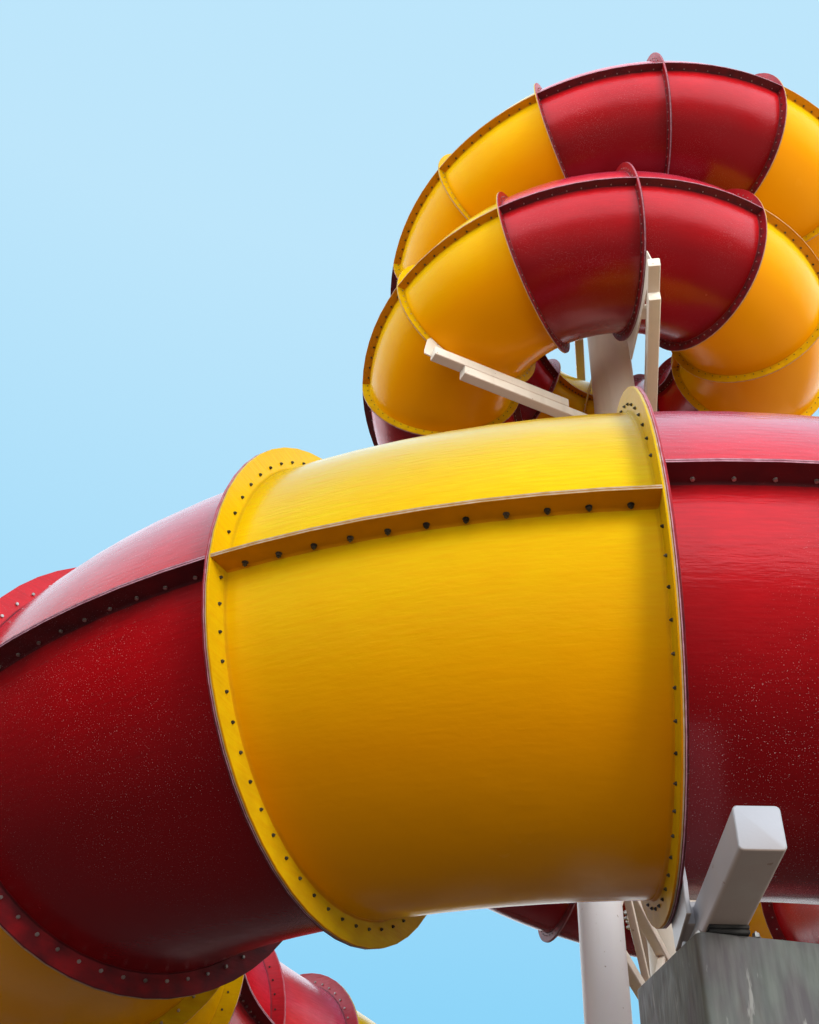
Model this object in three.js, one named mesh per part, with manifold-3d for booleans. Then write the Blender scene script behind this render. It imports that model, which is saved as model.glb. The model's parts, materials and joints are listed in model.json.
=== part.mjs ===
// Water slide tower: an enclosed two-colour flume that winds down round a steel mast,
// swings through a wide near bend and runs out at ground level. Millimetres, +Z up,
// origin at the underside of the mast's base plate.
import * as THREE from "three";
import Module from "manifold-3d";

const kernel = await Module();
kernel.setup();

// Flume sections: bore, wall, bolted ring flanges and the two long flanges of the half shells.
const TUBE_RADIUS = 710;
const FLANGE_HEIGHT = 75;
const FLANGE_RADIUS = TUBE_RADIUS + FLANGE_HEIGHT;
const WALL = 10;
const FLANGE_THICKNESS = 10;
const LONG_FLANGE_HALF = 12;
const TUBE_SIDES = 12;
const JOINT_GAP = 0.3;

// Plan of the flume: circles of the top turn, the lower turns and the near bend, in degrees.
const TOP_TURN = { x: 314, y: 70, radius: 1835 };
const LOWER_TURN = { x: -164, y: 0, radius: 1563 };
const NEAR_BEND = { x: -1023, y: -2518, radius: 2400 };
const TURN_START = 39.22;
const TOP_END = -172.55;
const BACK_END = -361.41;
const MIDDLE_END = -539.7;
const LOWER_END = -1080.5;
const BEND_START = -0.5;
const BEND_FRONT = -96.1;
const BEND_LEFT = -139.88;
const BEND_END = -227.5;
const RUNOUT_LENGTH = 6000;

// Height of the flume's centre line at some of its ring joints, counted from the upper end.
const HEIGHTS = [
  [0, 11953],
  [4, 11676],
  [8, 11399],
  [11, 10830],
  [14, 10243],
  [17, 10014],
  [20, 9784],
  [21, 9600],
  [22, 9270],
  [25, 8000],
  [28, 6600],
  [30, 6170],
  [32, 5900],
  [34, 5500],
  [36, 4820],
  [38, 4050],
  [40, 3560],
  [42, 3492],
  [44, 3470],
  [46, 3300],
  [48, 3080],
  [50, 2050],
  [52, 900],
];

// Steel: mast, arms, near column, tie truss, grey post and run-out frames.
const MAST_RADIUS = 210;
const MAST_WALL = 12;
const MAST_TOP = 12980;
const MAST_PAD_FACE = 222;
const MAST_PAD_LENGTH = 260;
const BASE_SIZE = 820;
const BASE_THICKNESS = 32;
const BEAM = 100;
const BEAM_WALL = 7;
const PLATE = 12;
const SEAT_CLEARANCE = 12;
const COLUMN = { x: -1000, y: -2518, radius: 105, wall: 8, top: 4220 };
const COLUMN_BASE = 460;
const COLUMN_STUB = 270;
const NEAR_BEAM = 100;
const TRUSS_TOP = 4050;
const TRUSS_BOTTOM = 3560;
const TRUSS_BAR = 64;
const POST = { x: -1077, y: -4864, size: 450, wall: 10, turn: 8 };
const PAD_THICKNESS = 20;

const RED = 0xa01225;
const YELLOW = 0xe8b010;
const CREAM = 0xe9e4da;
const WHITE = 0xe4e6ea;
const GREY = 0x6f7376;
const RUBBER = 0x1c1c1e;

const DEG = Math.PI / 180;
const UP = new THREE.Vector3(0, 0, 1);
const mix = (a, b, t) => a + (b - a) * t;
const smooth = (t) => t * t * (3 - 2 * t);
const clamp01 = (t) => Math.min(1, Math.max(0, t));

const tower = new THREE.Group();
tower.name = "water_slide_tower";

function add(name, geometry, color) {
  const mesh = new THREE.Mesh(
    geometry,
    new THREE.MeshStandardMaterial({ color, roughness: 0.4 }),
  );
  mesh.name = name;
  tower.add(mesh);
}

// Solids

function solid(geometry) {
  const flat = geometry.index ? geometry.toNonIndexed() : geometry;
  const position = flat.getAttribute("position");
  const found = new Map();
  const points = [];
  const corners = [];
  for (let i = 0; i < position.count; i++) {
    const p = [position.getX(i), position.getY(i), position.getZ(i)];
    const key = p.map((v) => Math.round(v * 1000)).join(",");
    if (!found.has(key)) {
      found.set(key, points.length / 3);
      points.push(...p);
    }
    corners.push(found.get(key));
  }
  const faces = [];
  for (let i = 0; i < corners.length; i += 3) {
    const [a, b, c] = corners.slice(i, i + 3);
    if (a !== b && b !== c && a !== c) faces.push(a, b, c);
  }
  return new kernel.Manifold(
    new kernel.Mesh({
      numProp: 3,
      vertProperties: new Float32Array(points),
      triVerts: new Uint32Array(faces),
    }),
  );
}

function geometryOf(made) {
  const mesh = made.simplify(0.05).getMesh();
  const count = mesh.numProp;
  const position = new Float32Array(mesh.numVert * 3);
  for (let i = 0; i < mesh.numVert; i++) {
    position.set(mesh.vertProperties.subarray(i * count, i * count + 3), i * 3);
  }
  const geometry = new THREE.BufferGeometry();
  geometry.setAttribute("position", new THREE.BufferAttribute(position, 3));
  geometry.setIndex(new THREE.BufferAttribute(mesh.triVerts, 1));
  return geometry;
}

const union = (parts) => parts.reduce((all, part) => all.add(part));

// A box along three given axes, from its low to its high corner in their coordinates.
function boxOn(frame, low, high) {
  const size = high.map((v, i) => v - low[i]);
  const geometry = new THREE.BoxGeometry(...size);
  geometry.translate(...high.map((v, i) => (v + low[i]) / 2));
  geometry.applyMatrix4(frame);
  return solid(geometry);
}

const worldBox = (low, high) => boxOn(new THREE.Matrix4(), low, high);

function cylinder(radius, from, to, x = 0, y = 0, sides = 24) {
  const geometry = new THREE.CylinderGeometry(radius, radius, to - from, sides);
  geometry.rotateX(Math.PI / 2);
  geometry.translate(x, y, (from + to) / 2);
  return solid(geometry);
}

function frameOf(origin, x, y, z) {
  return new THREE.Matrix4().makeBasis(x, y, z).setPosition(origin);
}

// A plate with the given outline in the first two axes of a frame.
function plateOn(frame, outline, from, to) {
  const shape = new THREE.Shape(outline.map(([a, b]) => new THREE.Vector2(a, b)));
  const geometry = new THREE.ExtrudeGeometry(shape, {
    depth: to - from,
    bevelEnabled: false,
  });
  geometry.translate(0, 0, from);
  geometry.applyMatrix4(frame);
  return solid(geometry);
}

// Flume path

function towerPoint(angle) {
  const share = smooth(clamp01((TOP_END - angle) / (TOP_END - BACK_END)));
  const radius = mix(TOP_TURN.radius, LOWER_TURN.radius, share);
  const x = mix(TOP_TURN.x, LOWER_TURN.x, share);
  const y = mix(TOP_TURN.y, LOWER_TURN.y, share);
  return [
    x + radius * Math.cos(angle * DEG),
    y + radius * Math.sin(angle * DEG),
  ];
}

function bendPoint(angle) {
  return [
    NEAR_BEND.x + NEAR_BEND.radius * Math.cos(angle * DEG),
    NEAR_BEND.y + NEAR_BEND.radius * Math.sin(angle * DEG),
  ];
}

const linkStart = towerPoint(LOWER_END);
const linkEnd = bendPoint(BEND_START);
const runoutStart = bendPoint(BEND_END);
const runoutHeading = (BEND_END - 90) * DEG;

const RUNS = [
  { sections: 8, at: (t) => towerPoint(mix(TURN_START, TOP_END, t)) },
  { sections: 6, at: (t) => towerPoint(mix(TOP_END, BACK_END, t)) },
  { sections: 6, at: (t) => towerPoint(mix(BACK_END, MIDDLE_END, t)) },
  { sections: 16, at: (t) => towerPoint(mix(MIDDLE_END, LOWER_END, t)) },
  { sections: 2, at: (t) => linkStart.map((v, i) => mix(v, linkEnd[i], t)) },
  { sections: 4, at: (t) => bendPoint(mix(BEND_START, BEND_FRONT, t)) },
  { sections: 2, at: (t) => bendPoint(mix(BEND_FRONT, BEND_LEFT, t)) },
  { sections: 4, at: (t) => bendPoint(mix(BEND_LEFT, BEND_END, t)) },
  {
    sections: 4,
    at: (t) => [
      runoutStart[0] + t * RUNOUT_LENGTH * Math.cos(runoutHeading),
      runoutStart[1] + t * RUNOUT_LENGTH * Math.sin(runoutHeading),
    ],
  },
];

// Plan position after a number of sections, which may end in a fraction.
function planAt(place) {
  let start = 0;
  for (const run of RUNS) {
    const last = run === RUNS[RUNS.length - 1];
    if (place < start + run.sections || last) {
      return run.at((place - start) / run.sections);
    }
    start += run.sections;
  }
  return null;
}

const SECTIONS = RUNS.reduce((sum, run) => sum + run.sections, 0);
const travelled = [0];
for (let i = 0; i < SECTIONS; i++) {
  let length = 0;
  for (let k = 0; k < 8; k++) {
    const a = planAt(i + k / 8);
    const b = planAt(i + (k + 1) / 8);
    length += Math.hypot(b[0] - a[0], b[1] - a[1]);
  }
  travelled.push(travelled[i] + length);
}

function travelAt(place) {
  const i = Math.min(SECTIONS - 1, Math.max(0, Math.floor(place)));
  return mix(travelled[i], travelled[i + 1], place - i);
}

// Heights between the stated joints follow a curve that never turns back up.
const knots = HEIGHTS.map(([joint, height]) => [travelled[joint], height]);
const secants = knots
  .slice(1)
  .map(([s, z], i) => (z - knots[i][1]) / (s - knots[i][0]));
const slopes = knots.map((_, i) => {
  if (i === 0) return secants[0];
  if (i === knots.length - 1) return secants[i - 1];
  return (2 * secants[i - 1] * secants[i]) / (secants[i - 1] + secants[i]);
});

function heightAt(place) {
  const s = travelAt(place);
  let i = 0;
  while (i < knots.length - 2 && s > knots[i + 1][0]) i++;
  const span = knots[i + 1][0] - knots[i][0];
  const t = clamp01((s - knots[i][0]) / span);
  const over = s - mix(knots[i][0], knots[i + 1][0], t);
  const value =
    knots[i][1] * (2 * t ** 3 - 3 * t ** 2 + 1) +
    slopes[i] * span * (t ** 3 - 2 * t ** 2 + t) +
    knots[i + 1][1] * (3 * t ** 2 - 2 * t ** 3) +
    slopes[i + 1] * span * (t ** 3 - t ** 2);
  return value + over * (over < 0 ? slopes[i] : slopes[i + 1]);
}

function pointAt(place) {
  const [x, y] = planAt(place);
  return new THREE.Vector3(x, y, heightAt(place));
}

// Centre, direction of travel, outward and upward axes of the flume at a place.
function stationAt(place) {
  const centre = pointAt(place);
  const along = pointAt(place + 0.01).sub(pointAt(place - 0.01)).normalize();
  const out = new THREE.Vector3().crossVectors(UP, along).normalize();
  const up = new THREE.Vector3().crossVectors(along, out);
  return { centre, along, out, up };
}

// Flume sections

const ring = (radius) =>
  Array.from({ length: TUBE_SIDES }, (_, i) => {
    const angle = (i * 2 * Math.PI) / TUBE_SIDES;
    return [radius * Math.cos(angle), radius * Math.sin(angle)];
  });

const HALF = TUBE_SIDES / 2;
const boreRing = ring(TUBE_RADIUS - WALL);
const rootA = Math.sqrt(TUBE_RADIUS ** 2 - LONG_FLANGE_HALF ** 2);
const rim = ring(FLANGE_RADIUS);
const skin = ring(TUBE_RADIUS);
const W = LONG_FLANGE_HALF;

// Outline of the shell with its two long flanges, and outline of a ring flange.
const shellOutline = [
  [rootA, -W],
  [FLANGE_RADIUS, -W],
  [FLANGE_RADIUS, W],
  [rootA, W],
  ...skin.slice(1, HALF),
  [-rootA, W],
  [-FLANGE_RADIUS, W],
  [-FLANGE_RADIUS, -W],
  [-rootA, -W],
  ...skin.slice(HALF + 1),
];
const flangeOutline = [
  [FLANGE_RADIUS, -W],
  [FLANGE_RADIUS, W],
  ...rim.slice(1, HALF),
  [-FLANGE_RADIUS, W],
  [-FLANGE_RADIUS, -W],
  ...rim.slice(HALF + 1),
];
const SHELL = shellOutline.length;
const FLANGE = flangeOutline.length;
const BORE = boreRing.length;

// Pairs of shell and flange corners that bound a flange's back face, in two chains.
const chains = [
  Array.from({ length: HALF + 1 }, (_, i) => [3 + i, 1 + i]),
  Array.from({ length: HALF + 1 }, (_, i) => [
    (HALF + 6 + i) % SHELL,
    (HALF + 2 + i) % FLANGE,
  ]),
];

function sectionGeometry(from, to, steps, roll) {
  const points = [];
  const faces = [];
  const turn = roll * DEG;
  const addRing = (outline, station, shift) => {
    const start = points.length / 3;
    for (const [a, b] of outline) {
      const x = a * Math.cos(turn) - b * Math.sin(turn);
      const y = a * Math.sin(turn) + b * Math.cos(turn);
      const p = station.centre
        .clone()
        .addScaledVector(station.along, shift)
        .addScaledVector(station.out, x)
        .addScaledVector(station.up, y);
      points.push(p.x, p.y, p.z);
    }
    return start;
  };
  const quad = (a, b, c, d) => faces.push(a, b, c, a, c, d);
  // Both walls of the shell split their quads along the same diagonal, so its wall stays even.
  const sweep = (a, b, count) => {
    for (let i = 0; i < count; i++) {
      const j = (i + 1) % count;
      quad(a + i, a + j, b + j, b + i);
    }
  };
  const sweepBore = (a, b) => {
    for (let i = 0; i < BORE; i++) {
      const j = (i + 1) % BORE;
      quad(a + i, b + i, b + j, a + j);
    }
  };
  const backFace = (shell, flange, forward) => {
    for (const chain of chains) {
      for (let i = 0; i + 1 < chain.length; i++) {
        const [s0, f0] = chain[i];
        const [s1, f1] = chain[i + 1];
        if (forward) quad(shell + s0, shell + s1, flange + f1, flange + f0);
        else quad(flange + f0, flange + f1, shell + s1, shell + s0);
      }
    }
  };
  // The end face: a band between the ring flange's outline and the bore.
  const endFace = (flange, bore, forward) => {
    const angleOf = (i, list) => {
      const [a, b] = list[i % list.length];
      const value = Math.atan2(b, a);
      return (value < -0.1 ? value + 2 * Math.PI : value) +
        (i >= list.length ? 2 * Math.PI : 0);
    };
    let i = 0;
    let j = 0;
    while (i < FLANGE || j < BORE) {
      const outer = i < FLANGE ? angleOf(i + 1, flangeOutline) : Infinity;
      const inner = j < BORE ? angleOf(j + 1, boreRing) : Infinity;
      const f = flange + (i % FLANGE);
      const b = bore + (j % BORE);
      let third;
      if (outer <= inner) {
        i += 1;
        third = flange + (i % FLANGE);
      } else {
        j += 1;
        third = bore + (j % BORE);
      }
      if (forward) faces.push(f, third, b);
      else faces.push(f, b, third);
    }
  };

  const first = stationAt(from);
  const last = stationAt(to);
  const near = JOINT_GAP / 2;
  const far = near + FLANGE_THICKNESS;
  let previous;
  let previousBore;

  const startFlange = addRing(flangeOutline, first, near);
  const startBack = addRing(flangeOutline, first, far);
  const startShell = addRing(shellOutline, first, far);
  const startBore = addRing(boreRing, first, near);
  endFace(startFlange, startBore, false);
  sweep(startFlange, startBack, FLANGE);
  backFace(startShell, startBack, false);
  previous = startShell;
  previousBore = startBore;

  const total = Math.round((to - from) * steps);
  for (let k = 1; k < total; k++) {
    const place = from + k / steps;
    const station = stationAt(place);
    if (k % steps === 0) {
      const shellA = addRing(shellOutline, station, -FLANGE_THICKNESS);
      const flangeA = addRing(flangeOutline, station, -FLANGE_THICKNESS);
      const flangeB = addRing(flangeOutline, station, FLANGE_THICKNESS);
      const shellB = addRing(shellOutline, station, FLANGE_THICKNESS);
      sweep(previous, shellA, SHELL);
      backFace(shellA, flangeA, true);
      sweep(flangeA, flangeB, FLANGE);
      backFace(shellB, flangeB, false);
      previous = shellB;
    } else {
      const shell = addRing(shellOutline, station, 0);
      sweep(previous, shell, SHELL);
      previous = shell;
    }
    const bore = addRing(boreRing, station, 0);
    sweepBore(previousBore, bore);
    previousBore = bore;
  }

  const endShell = addRing(shellOutline, last, -far);
  const endBack = addRing(flangeOutline, last, -far);
  const endFlange = addRing(flangeOutline, last, -near);
  const endBore = addRing(boreRing, last, -near);
  sweep(previous, endShell, SHELL);
  backFace(endShell, endBack, true);
  sweep(endBack, endFlange, FLANGE);
  endFace(endFlange, endBore, true);
  sweepBore(previousBore, endBore);

  const geometry = new THREE.BufferGeometry();
  geometry.setAttribute("position", new THREE.Float32BufferAttribute(points, 3));
  geometry.setIndex(faces);
  return geometry;
}

// Bolted pairs of sections: first and last joint, colour, steps a section, roll about the tube.
const PAIRS = [
  ["flume_top_1", 0, 2, RED, 2, 0],
  ["flume_top_2", 2, 4, YELLOW, 2, 0],
  ["flume_top_3", 4, 6, RED, 2, 0],
  ["flume_top_4", 6, 8, YELLOW, 2, 0],
  ["flume_back_1", 8, 10, RED, 2, 0],
  ["flume_back_2", 10, 12, YELLOW, 2, 0],
  ["flume_back_3", 12, 14, RED, 2, 0],
  ["flume_middle_1", 14, 16, YELLOW, 2, 0],
  ["flume_middle_2", 16, 18, RED, 2, 0],
  ["flume_middle_3", 18, 20, YELLOW, 2, 0],
  ["flume_lower_1", 20, 22, RED, 2, 0],
  ["flume_lower_2", 22, 24, YELLOW, 2, 0],
  ["flume_lower_3", 24, 26, RED, 2, 0],
  ["flume_lower_4", 26, 28, YELLOW, 2, 0],
  ["flume_lower_5", 28, 30, RED, 2, 0],
  ["flume_lower_6", 30, 32, YELLOW, 2, 0],
  ["flume_lower_7", 32, 34, RED, 2, 0],
  ["flume_lower_8", 34, 36, YELLOW, 2, 0],
  ["flume_link", 36, 38, RED, 1, 0],
  ["flume_bend_1", 38, 40, YELLOW, 2, 0],
  ["flume_bend_2", 40, 42, RED, 2, 3],
  ["flume_bend_3", 42, 43, YELLOW, 2, -3.2],
  ["flume_bend_4", 43, 44, RED, 2, -3.2],
  ["flume_bend_5", 44, 46, YELLOW, 2, -3.2],
  ["flume_bend_6", 46, 48, RED, 2, 0],
  ["flume_runout_1", 48, 50, YELLOW, 1, 0],
  ["flume_runout_2", 50, 52, RED, 1, 0],
];
for (const [name, from, to, color, steps, roll] of PAIRS) {
  add(name, sectionGeometry(from, to, steps, roll), color);
}

// Seats: the plate bolted to a ring flange, and the beams under or over it

const SEAT_FACE = JOINT_GAP / 2 + FLANGE_THICKNESS + JOINT_GAP;
const SEAT_LEVEL = FLANGE_RADIUS + SEAT_CLEARANCE;
const SEAT_ARC = 38;
const NEAR_SEAT_ARC = 10;

// Plate beside the upstream face of a ring flange; side is -1 under the tube, 1 over it.
function seatPlate(station, side, reach, depth, spread = SEAT_ARC) {
  const arc = [];
  for (let i = 0; i <= 6; i++) {
    const angle = (side * 90 + side * mix(spread, -spread, i / 6)) * DEG;
    arc.push([
      (TUBE_RADIUS + SEAT_CLEARANCE) * Math.cos(angle),
      (TUBE_RADIUS + SEAT_CLEARANCE) * Math.sin(angle),
    ]);
  }
  const tip = FLANGE_RADIUS * Math.sin(spread * DEG);
  const tipLevel = side * FLANGE_RADIUS * Math.cos(spread * DEG);
  const outline = [
    ...arc,
    [tip, tipLevel],
    [reach, side * SEAT_LEVEL],
    [reach, side * (SEAT_LEVEL + depth)],
    [-reach, side * (SEAT_LEVEL + depth)],
    [-reach, side * SEAT_LEVEL],
    [-tip, tipLevel],
  ];
  const ordered = side < 0 ? outline : outline.reverse();
  const frame = frameOf(station.centre, station.out, station.up, station.along);
  return plateOn(frame, ordered, -SEAT_FACE - PLATE, -SEAT_FACE);
}

// The block that joins a seat plate to the beam beside it.
function seatWeb(station, side) {
  const levels = [side * (SEAT_LEVEL - 8), side * (SEAT_LEVEL + 50)].sort((a, b) => a - b);
  return boxOn(
    frameOf(station.centre, station.out, station.up, station.along),
    [-60, levels[0], -70],
    [60, levels[1], -SEAT_FACE - 4],
  );
}

// A square beam between two places on a line, and its bore, closed at the outer end.
function hollowBeam(frame, from, to, half, low, high, wall) {
  return {
    outer: boxOn(frame, [from, -half, low], [to, half, high]),
    bore: boxOn(
      frame,
      [from - 5, -half + wall, low + wall],
      [to - wall, half - wall, high - wall],
    ),
  };
}

// The horizontal line of an arm: from beside the mast to beside the ring flange.
function armLine(station, side, mastOffset, ringOffset) {
  const level = station.centre.z + side * SEAT_LEVEL * station.up.z;
  const upstream = station.along.clone().negate().setZ(0).normalize();
  const seat = station.centre.clone().addScaledVector(station.up, side * SEAT_LEVEL);
  seat.addScaledVector(upstream, ringOffset).setZ(level);
  const hub = new THREE.Vector3(0, 0, level).addScaledVector(upstream, mastOffset);
  for (let i = 0; i < 4; i++) {
    const way = seat.clone().sub(hub).normalize();
    const across = new THREE.Vector3().crossVectors(UP, way);
    if (across.dot(upstream) < 0) across.negate();
    hub.set(0, 0, level).addScaledVector(across, mastOffset);
  }
  const out = seat.clone().sub(hub);
  const reach = out.length();
  out.normalize();
  const across = new THREE.Vector3().crossVectors(UP, out);
  return { level, hub, out, across, reach, upstream };
}

const mastPads = [];
const HALF_BEAM = BEAM / 2;
const ARM_OFFSET = 110;
const ARM_SIDE = MAST_PAD_FACE + JOINT_GAP + HALF_BEAM;

// An arm of two stacked beams: the short one carries the seat, the long one passes the mast.
function mastArm(name, joint, side, seatReach, shortEnd, longEnd) {
  const station = stationAt(joint);
  const line = armLine(station, side, ARM_SIDE, ARM_OFFSET);
  const frame = frameOf(line.hub, line.out, line.across, UP);
  const near = [0, side * BEAM].sort((a, b) => a - b);
  const far = [side * (BEAM - 1), side * (2 * BEAM - 1)].sort((a, b) => a - b);
  const short = hollowBeam(
    frame,
    line.reach - 900,
    line.reach + shortEnd,
    HALF_BEAM,
    near[0],
    near[1],
    BEAM_WALL,
  );
  const long = hollowBeam(
    frame,
    -MAST_PAD_LENGTH / 2,
    line.reach + longEnd,
    HALF_BEAM,
    far[0],
    far[1],
    BEAM_WALL,
  );
  const plate = seatPlate(station, side, seatReach, HALF_BEAM);
  const made = union([long.outer, short.outer, plate, seatWeb(station, side)]);
  add(name, geometryOf(made.subtract(long.bore).subtract(short.bore)), CREAM);

  const padSide = line.across.dot(line.upstream) > 0 ? -1 : 1;
  const padFrom = padSide * (HALF_BEAM + JOINT_GAP);
  const padTo = padSide * (HALF_BEAM + JOINT_GAP + 70);
  mastPads.push(
    boxOn(
      frame,
      [-MAST_PAD_LENGTH / 2, Math.min(padFrom, padTo), far[0] - 10],
      [MAST_PAD_LENGTH / 2, Math.max(padFrom, padTo), far[1] + 10],
    ),
  );
}

const OVER = 1;
const UNDER = -1;
mastArm("arm_top_right", 1, OVER, 330, 400, 100);
mastArm("arm_top_front", 5, OVER, 330, 400, 100);
mastArm("arm_top_left", 8, OVER, 330, 400, 100);
mastArm("arm_top_back", 11, OVER, 330, 400, 100);
mastArm("arm_middle_right", 14, UNDER, 520, 500, 220);
mastArm("arm_middle_front", 17, UNDER, 520, 550, 280);
mastArm("arm_middle_left", 19, UNDER, 520, 460, 170);
mastArm("arm_lower_back_left", 22, UNDER, 520, 500, 220);
mastArm("arm_lower_right", 25, UNDER, 520, 500, 220);
mastArm("arm_lower_front", 28, UNDER, 520, 500, 220);
mastArm("arm_lower_left", 31, UNDER, 520, 500, 220);
mastArm("arm_lower_back_right", 34, UNDER, 520, 500, 220);
mastArm("arm_link", 36, UNDER, 520, 500, 220);

// Near column with bolted arms below the near bend

const columnParts = [];

function nearArm(name, joint, end) {
  const station = stationAt(joint);
  const half = NEAR_BEAM / 2;
  const level = station.centre.z - SEAT_LEVEL * station.up.z;
  const upstream = station.along.clone().negate().setZ(0).normalize();
  const seat = station.centre.clone().addScaledVector(station.up, -SEAT_LEVEL);
  seat.addScaledVector(upstream, 88).setZ(level);
  const hub = new THREE.Vector3(COLUMN.x, COLUMN.y, level);
  const out = seat.clone().sub(hub);
  const reach = out.length();
  out.normalize();
  const across = new THREE.Vector3().crossVectors(UP, out);
  const frame = frameOf(hub, out, across, UP);
  const start = COLUMN_STUB + JOINT_GAP;
  const beam = hollowBeam(frame, start, reach + end, half, -NEAR_BEAM, 0, 6);
  const face = boxOn(frame, [start, -95, -145], [start + PLATE, 95, 45]);
  const plate = seatPlate(station, UNDER, 130, half, NEAR_SEAT_ARC);
  const solid = union([beam.outer, face, plate, seatWeb(station, UNDER)]);
  const made = solid.subtract(beam.bore);
  add(name, geometryOf(made), WHITE);
  columnParts.push(
    boxOn(frame, [60, -half, -NEAR_BEAM], [COLUMN_STUB - 5, half, 0]),
    boxOn(frame, [COLUMN_STUB - PLATE, -95, -145], [COLUMN_STUB, 95, 45]),
  );
  return { frame, reach, level };
}

nearArm("arm_bend_right", 40, 450);
const frontArm = nearArm("arm_bend_front", 42, 610);
nearArm("arm_bend_left", 45, 450);
nearArm("arm_bend_end", 48, 450);

// Tie truss between the near column and the mast

const hubPoint = new THREE.Vector3(COLUMN.x, COLUMN.y, 0);
const toMast = hubPoint.clone().negate();
const span = toMast.length();
toMast.normalize();
const trussAcross = new THREE.Vector3().crossVectors(UP, toMast);
const trussFrame = frameOf(hubPoint, toMast, trussAcross, UP);
const COLUMN_PAD_FACE = COLUMN.radius + 14;
const trussStart = COLUMN_PAD_FACE + JOINT_GAP;
const trussEnd = span - MAST_PAD_FACE - JOINT_GAP;
const halfBar = TRUSS_BAR / 2;
const trussLow = TRUSS_BOTTOM - 50;
const trussHigh = TRUSS_TOP + 50;
const trussParts = [
  boxOn(
    trussFrame,
    [trussStart, -halfBar, TRUSS_TOP - halfBar],
    [trussEnd, halfBar, TRUSS_TOP + halfBar],
  ),
  boxOn(
    trussFrame,
    [trussStart, -halfBar, TRUSS_BOTTOM - halfBar],
    [trussEnd, halfBar, TRUSS_BOTTOM + halfBar],
  ),
  boxOn(trussFrame, [trussStart, -60, trussLow], [trussStart + PLATE, 60, trussHigh]),
  boxOn(trussFrame, [trussEnd - PLATE, -60, trussLow], [trussEnd, 60, trussHigh]),
];
const TRUSS_BAYS = 4;
for (let i = 0; i < TRUSS_BAYS; i++) {
  const a = mix(trussStart + 40, trussEnd - 40, i / TRUSS_BAYS);
  const b = mix(trussStart + 40, trussEnd - 40, (i + 1) / TRUSS_BAYS);
  const rise = i % 2 === 0;
  const low = rise ? a : b;
  const high = rise ? b : a;
  const foot = new THREE.Vector3(low, 0, TRUSS_BOTTOM);
  const head = new THREE.Vector3(high, 0, TRUSS_TOP);
  const way = head.clone().sub(foot);
  const length = way.length();
  way.normalize();
  const side = new THREE.Vector3(0, 1, 0);
  const third = new THREE.Vector3().crossVectors(way, side);
  const local = frameOf(foot, way, side, third);
  trussParts.push(
    boxOn(trussFrame.clone().multiply(local), [0, -20, -20], [length, 20, 20]),
  );
}
add("tie_truss", geometryOf(union(trussParts)), CREAM);

columnParts.push(
  boxOn(trussFrame, [60, -70, trussLow - 10], [COLUMN_PAD_FACE, 70, trussHigh + 10]),
);
mastPads.push(
  boxOn(
    trussFrame,
    [span - MAST_PAD_FACE, -90, trussLow - 10],
    [span - 120, 90, trussHigh + 10],
  ),
);

// Base plate with stiffeners round the foot of a column
function foot(x, y, radius, size, thickness, fins, height) {
  const parts = [
    worldBox(
      [x - size / 2, y - size / 2, 0],
      [x + size / 2, y + size / 2, thickness],
    ),
  ];
  for (let i = 0; i < fins; i++) {
    const angle = ((i + 0.5) * 2 * Math.PI) / fins;
    const out = new THREE.Vector3(Math.cos(angle), Math.sin(angle), 0);
    const across = new THREE.Vector3().crossVectors(UP, out);
    const frame = frameOf(new THREE.Vector3(x, y, 0), out, UP, across.negate());
    const reach = size / 2 - 25;
    parts.push(
      plateOn(
        frame,
        [
          [radius - 6, thickness - 2],
          [reach, thickness - 2],
          [reach, thickness + 20],
          [radius + 15, height],
          [radius - 6, height],
        ],
        -8,
        8,
      ),
    );
  }
  return parts;
}

// The near column: round tube, capped, with a drain slot low in its wall
const columnShell = union([
  cylinder(COLUMN.radius, 10, COLUMN.top, COLUMN.x, COLUMN.y, 20),
  ...foot(COLUMN.x, COLUMN.y, COLUMN.radius, COLUMN_BASE, 25, 4, 170),
  ...columnParts,
]);
const columnBore = cylinder(
  COLUMN.radius - COLUMN.wall,
  25,
  COLUMN.top - 10,
  COLUMN.x,
  COLUMN.y,
  20,
);
const columnSlot = worldBox(
  [COLUMN.x - 25, COLUMN.y, 60],
  [COLUMN.x + 25, COLUMN.y + COLUMN.radius + 20, 130],
);
add("near_column", geometryOf(columnShell.subtract(columnBore).subtract(columnSlot)), WHITE);

// The mast: round tube with flat pads for the arms, a cap plate and a drain slot
const mastShell = union([
  cylinder(MAST_RADIUS, 10, MAST_TOP, 0, 0, 24),
  cylinder(MAST_RADIUS + 25, MAST_TOP - 5, MAST_TOP + 15, 0, 0, 24),
  ...foot(0, 0, MAST_RADIUS, BASE_SIZE, BASE_THICKNESS, 8, 300),
  ...mastPads,
]);
const mastBore = cylinder(MAST_RADIUS - MAST_WALL, BASE_THICKNESS, MAST_TOP - 5);
const mastSlot = worldBox([-40, 0, 80], [40, MAST_RADIUS + 20, 200]);
add("mast", geometryOf(mastShell.subtract(mastBore).subtract(mastSlot)), CREAM);

// Grey post below the front arm, with a rubber pad on its top plate
const postTop = frontArm.level - NEAR_BEAM - PAD_THICKNESS - 2 * JOINT_GAP;
const postTurn = new THREE.Matrix4()
  .makeRotationZ(POST.turn * DEG)
  .setPosition(POST.x, POST.y, 0);
const halfPost = POST.size / 2;
const post = boxOn(postTurn, [-halfPost, -halfPost, 0], [halfPost, halfPost, postTop]);
const postBore = boxOn(
  postTurn,
  [-halfPost + POST.wall, -halfPost + POST.wall, -10],
  [halfPost - POST.wall, halfPost - POST.wall, postTop - POST.wall],
);
add("grey_post", geometryOf(post.subtract(postBore)), GREY);
const padAt = frontArm.reach + 20;
add(
  "rubber_pad",
  geometryOf(
    boxOn(
      frontArm.frame,
      [padAt - 180, -62, -NEAR_BEAM - JOINT_GAP - PAD_THICKNESS],
      [padAt + 180, 62, -NEAR_BEAM - JOINT_GAP],
    ),
  ),
  RUBBER,
);

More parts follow.
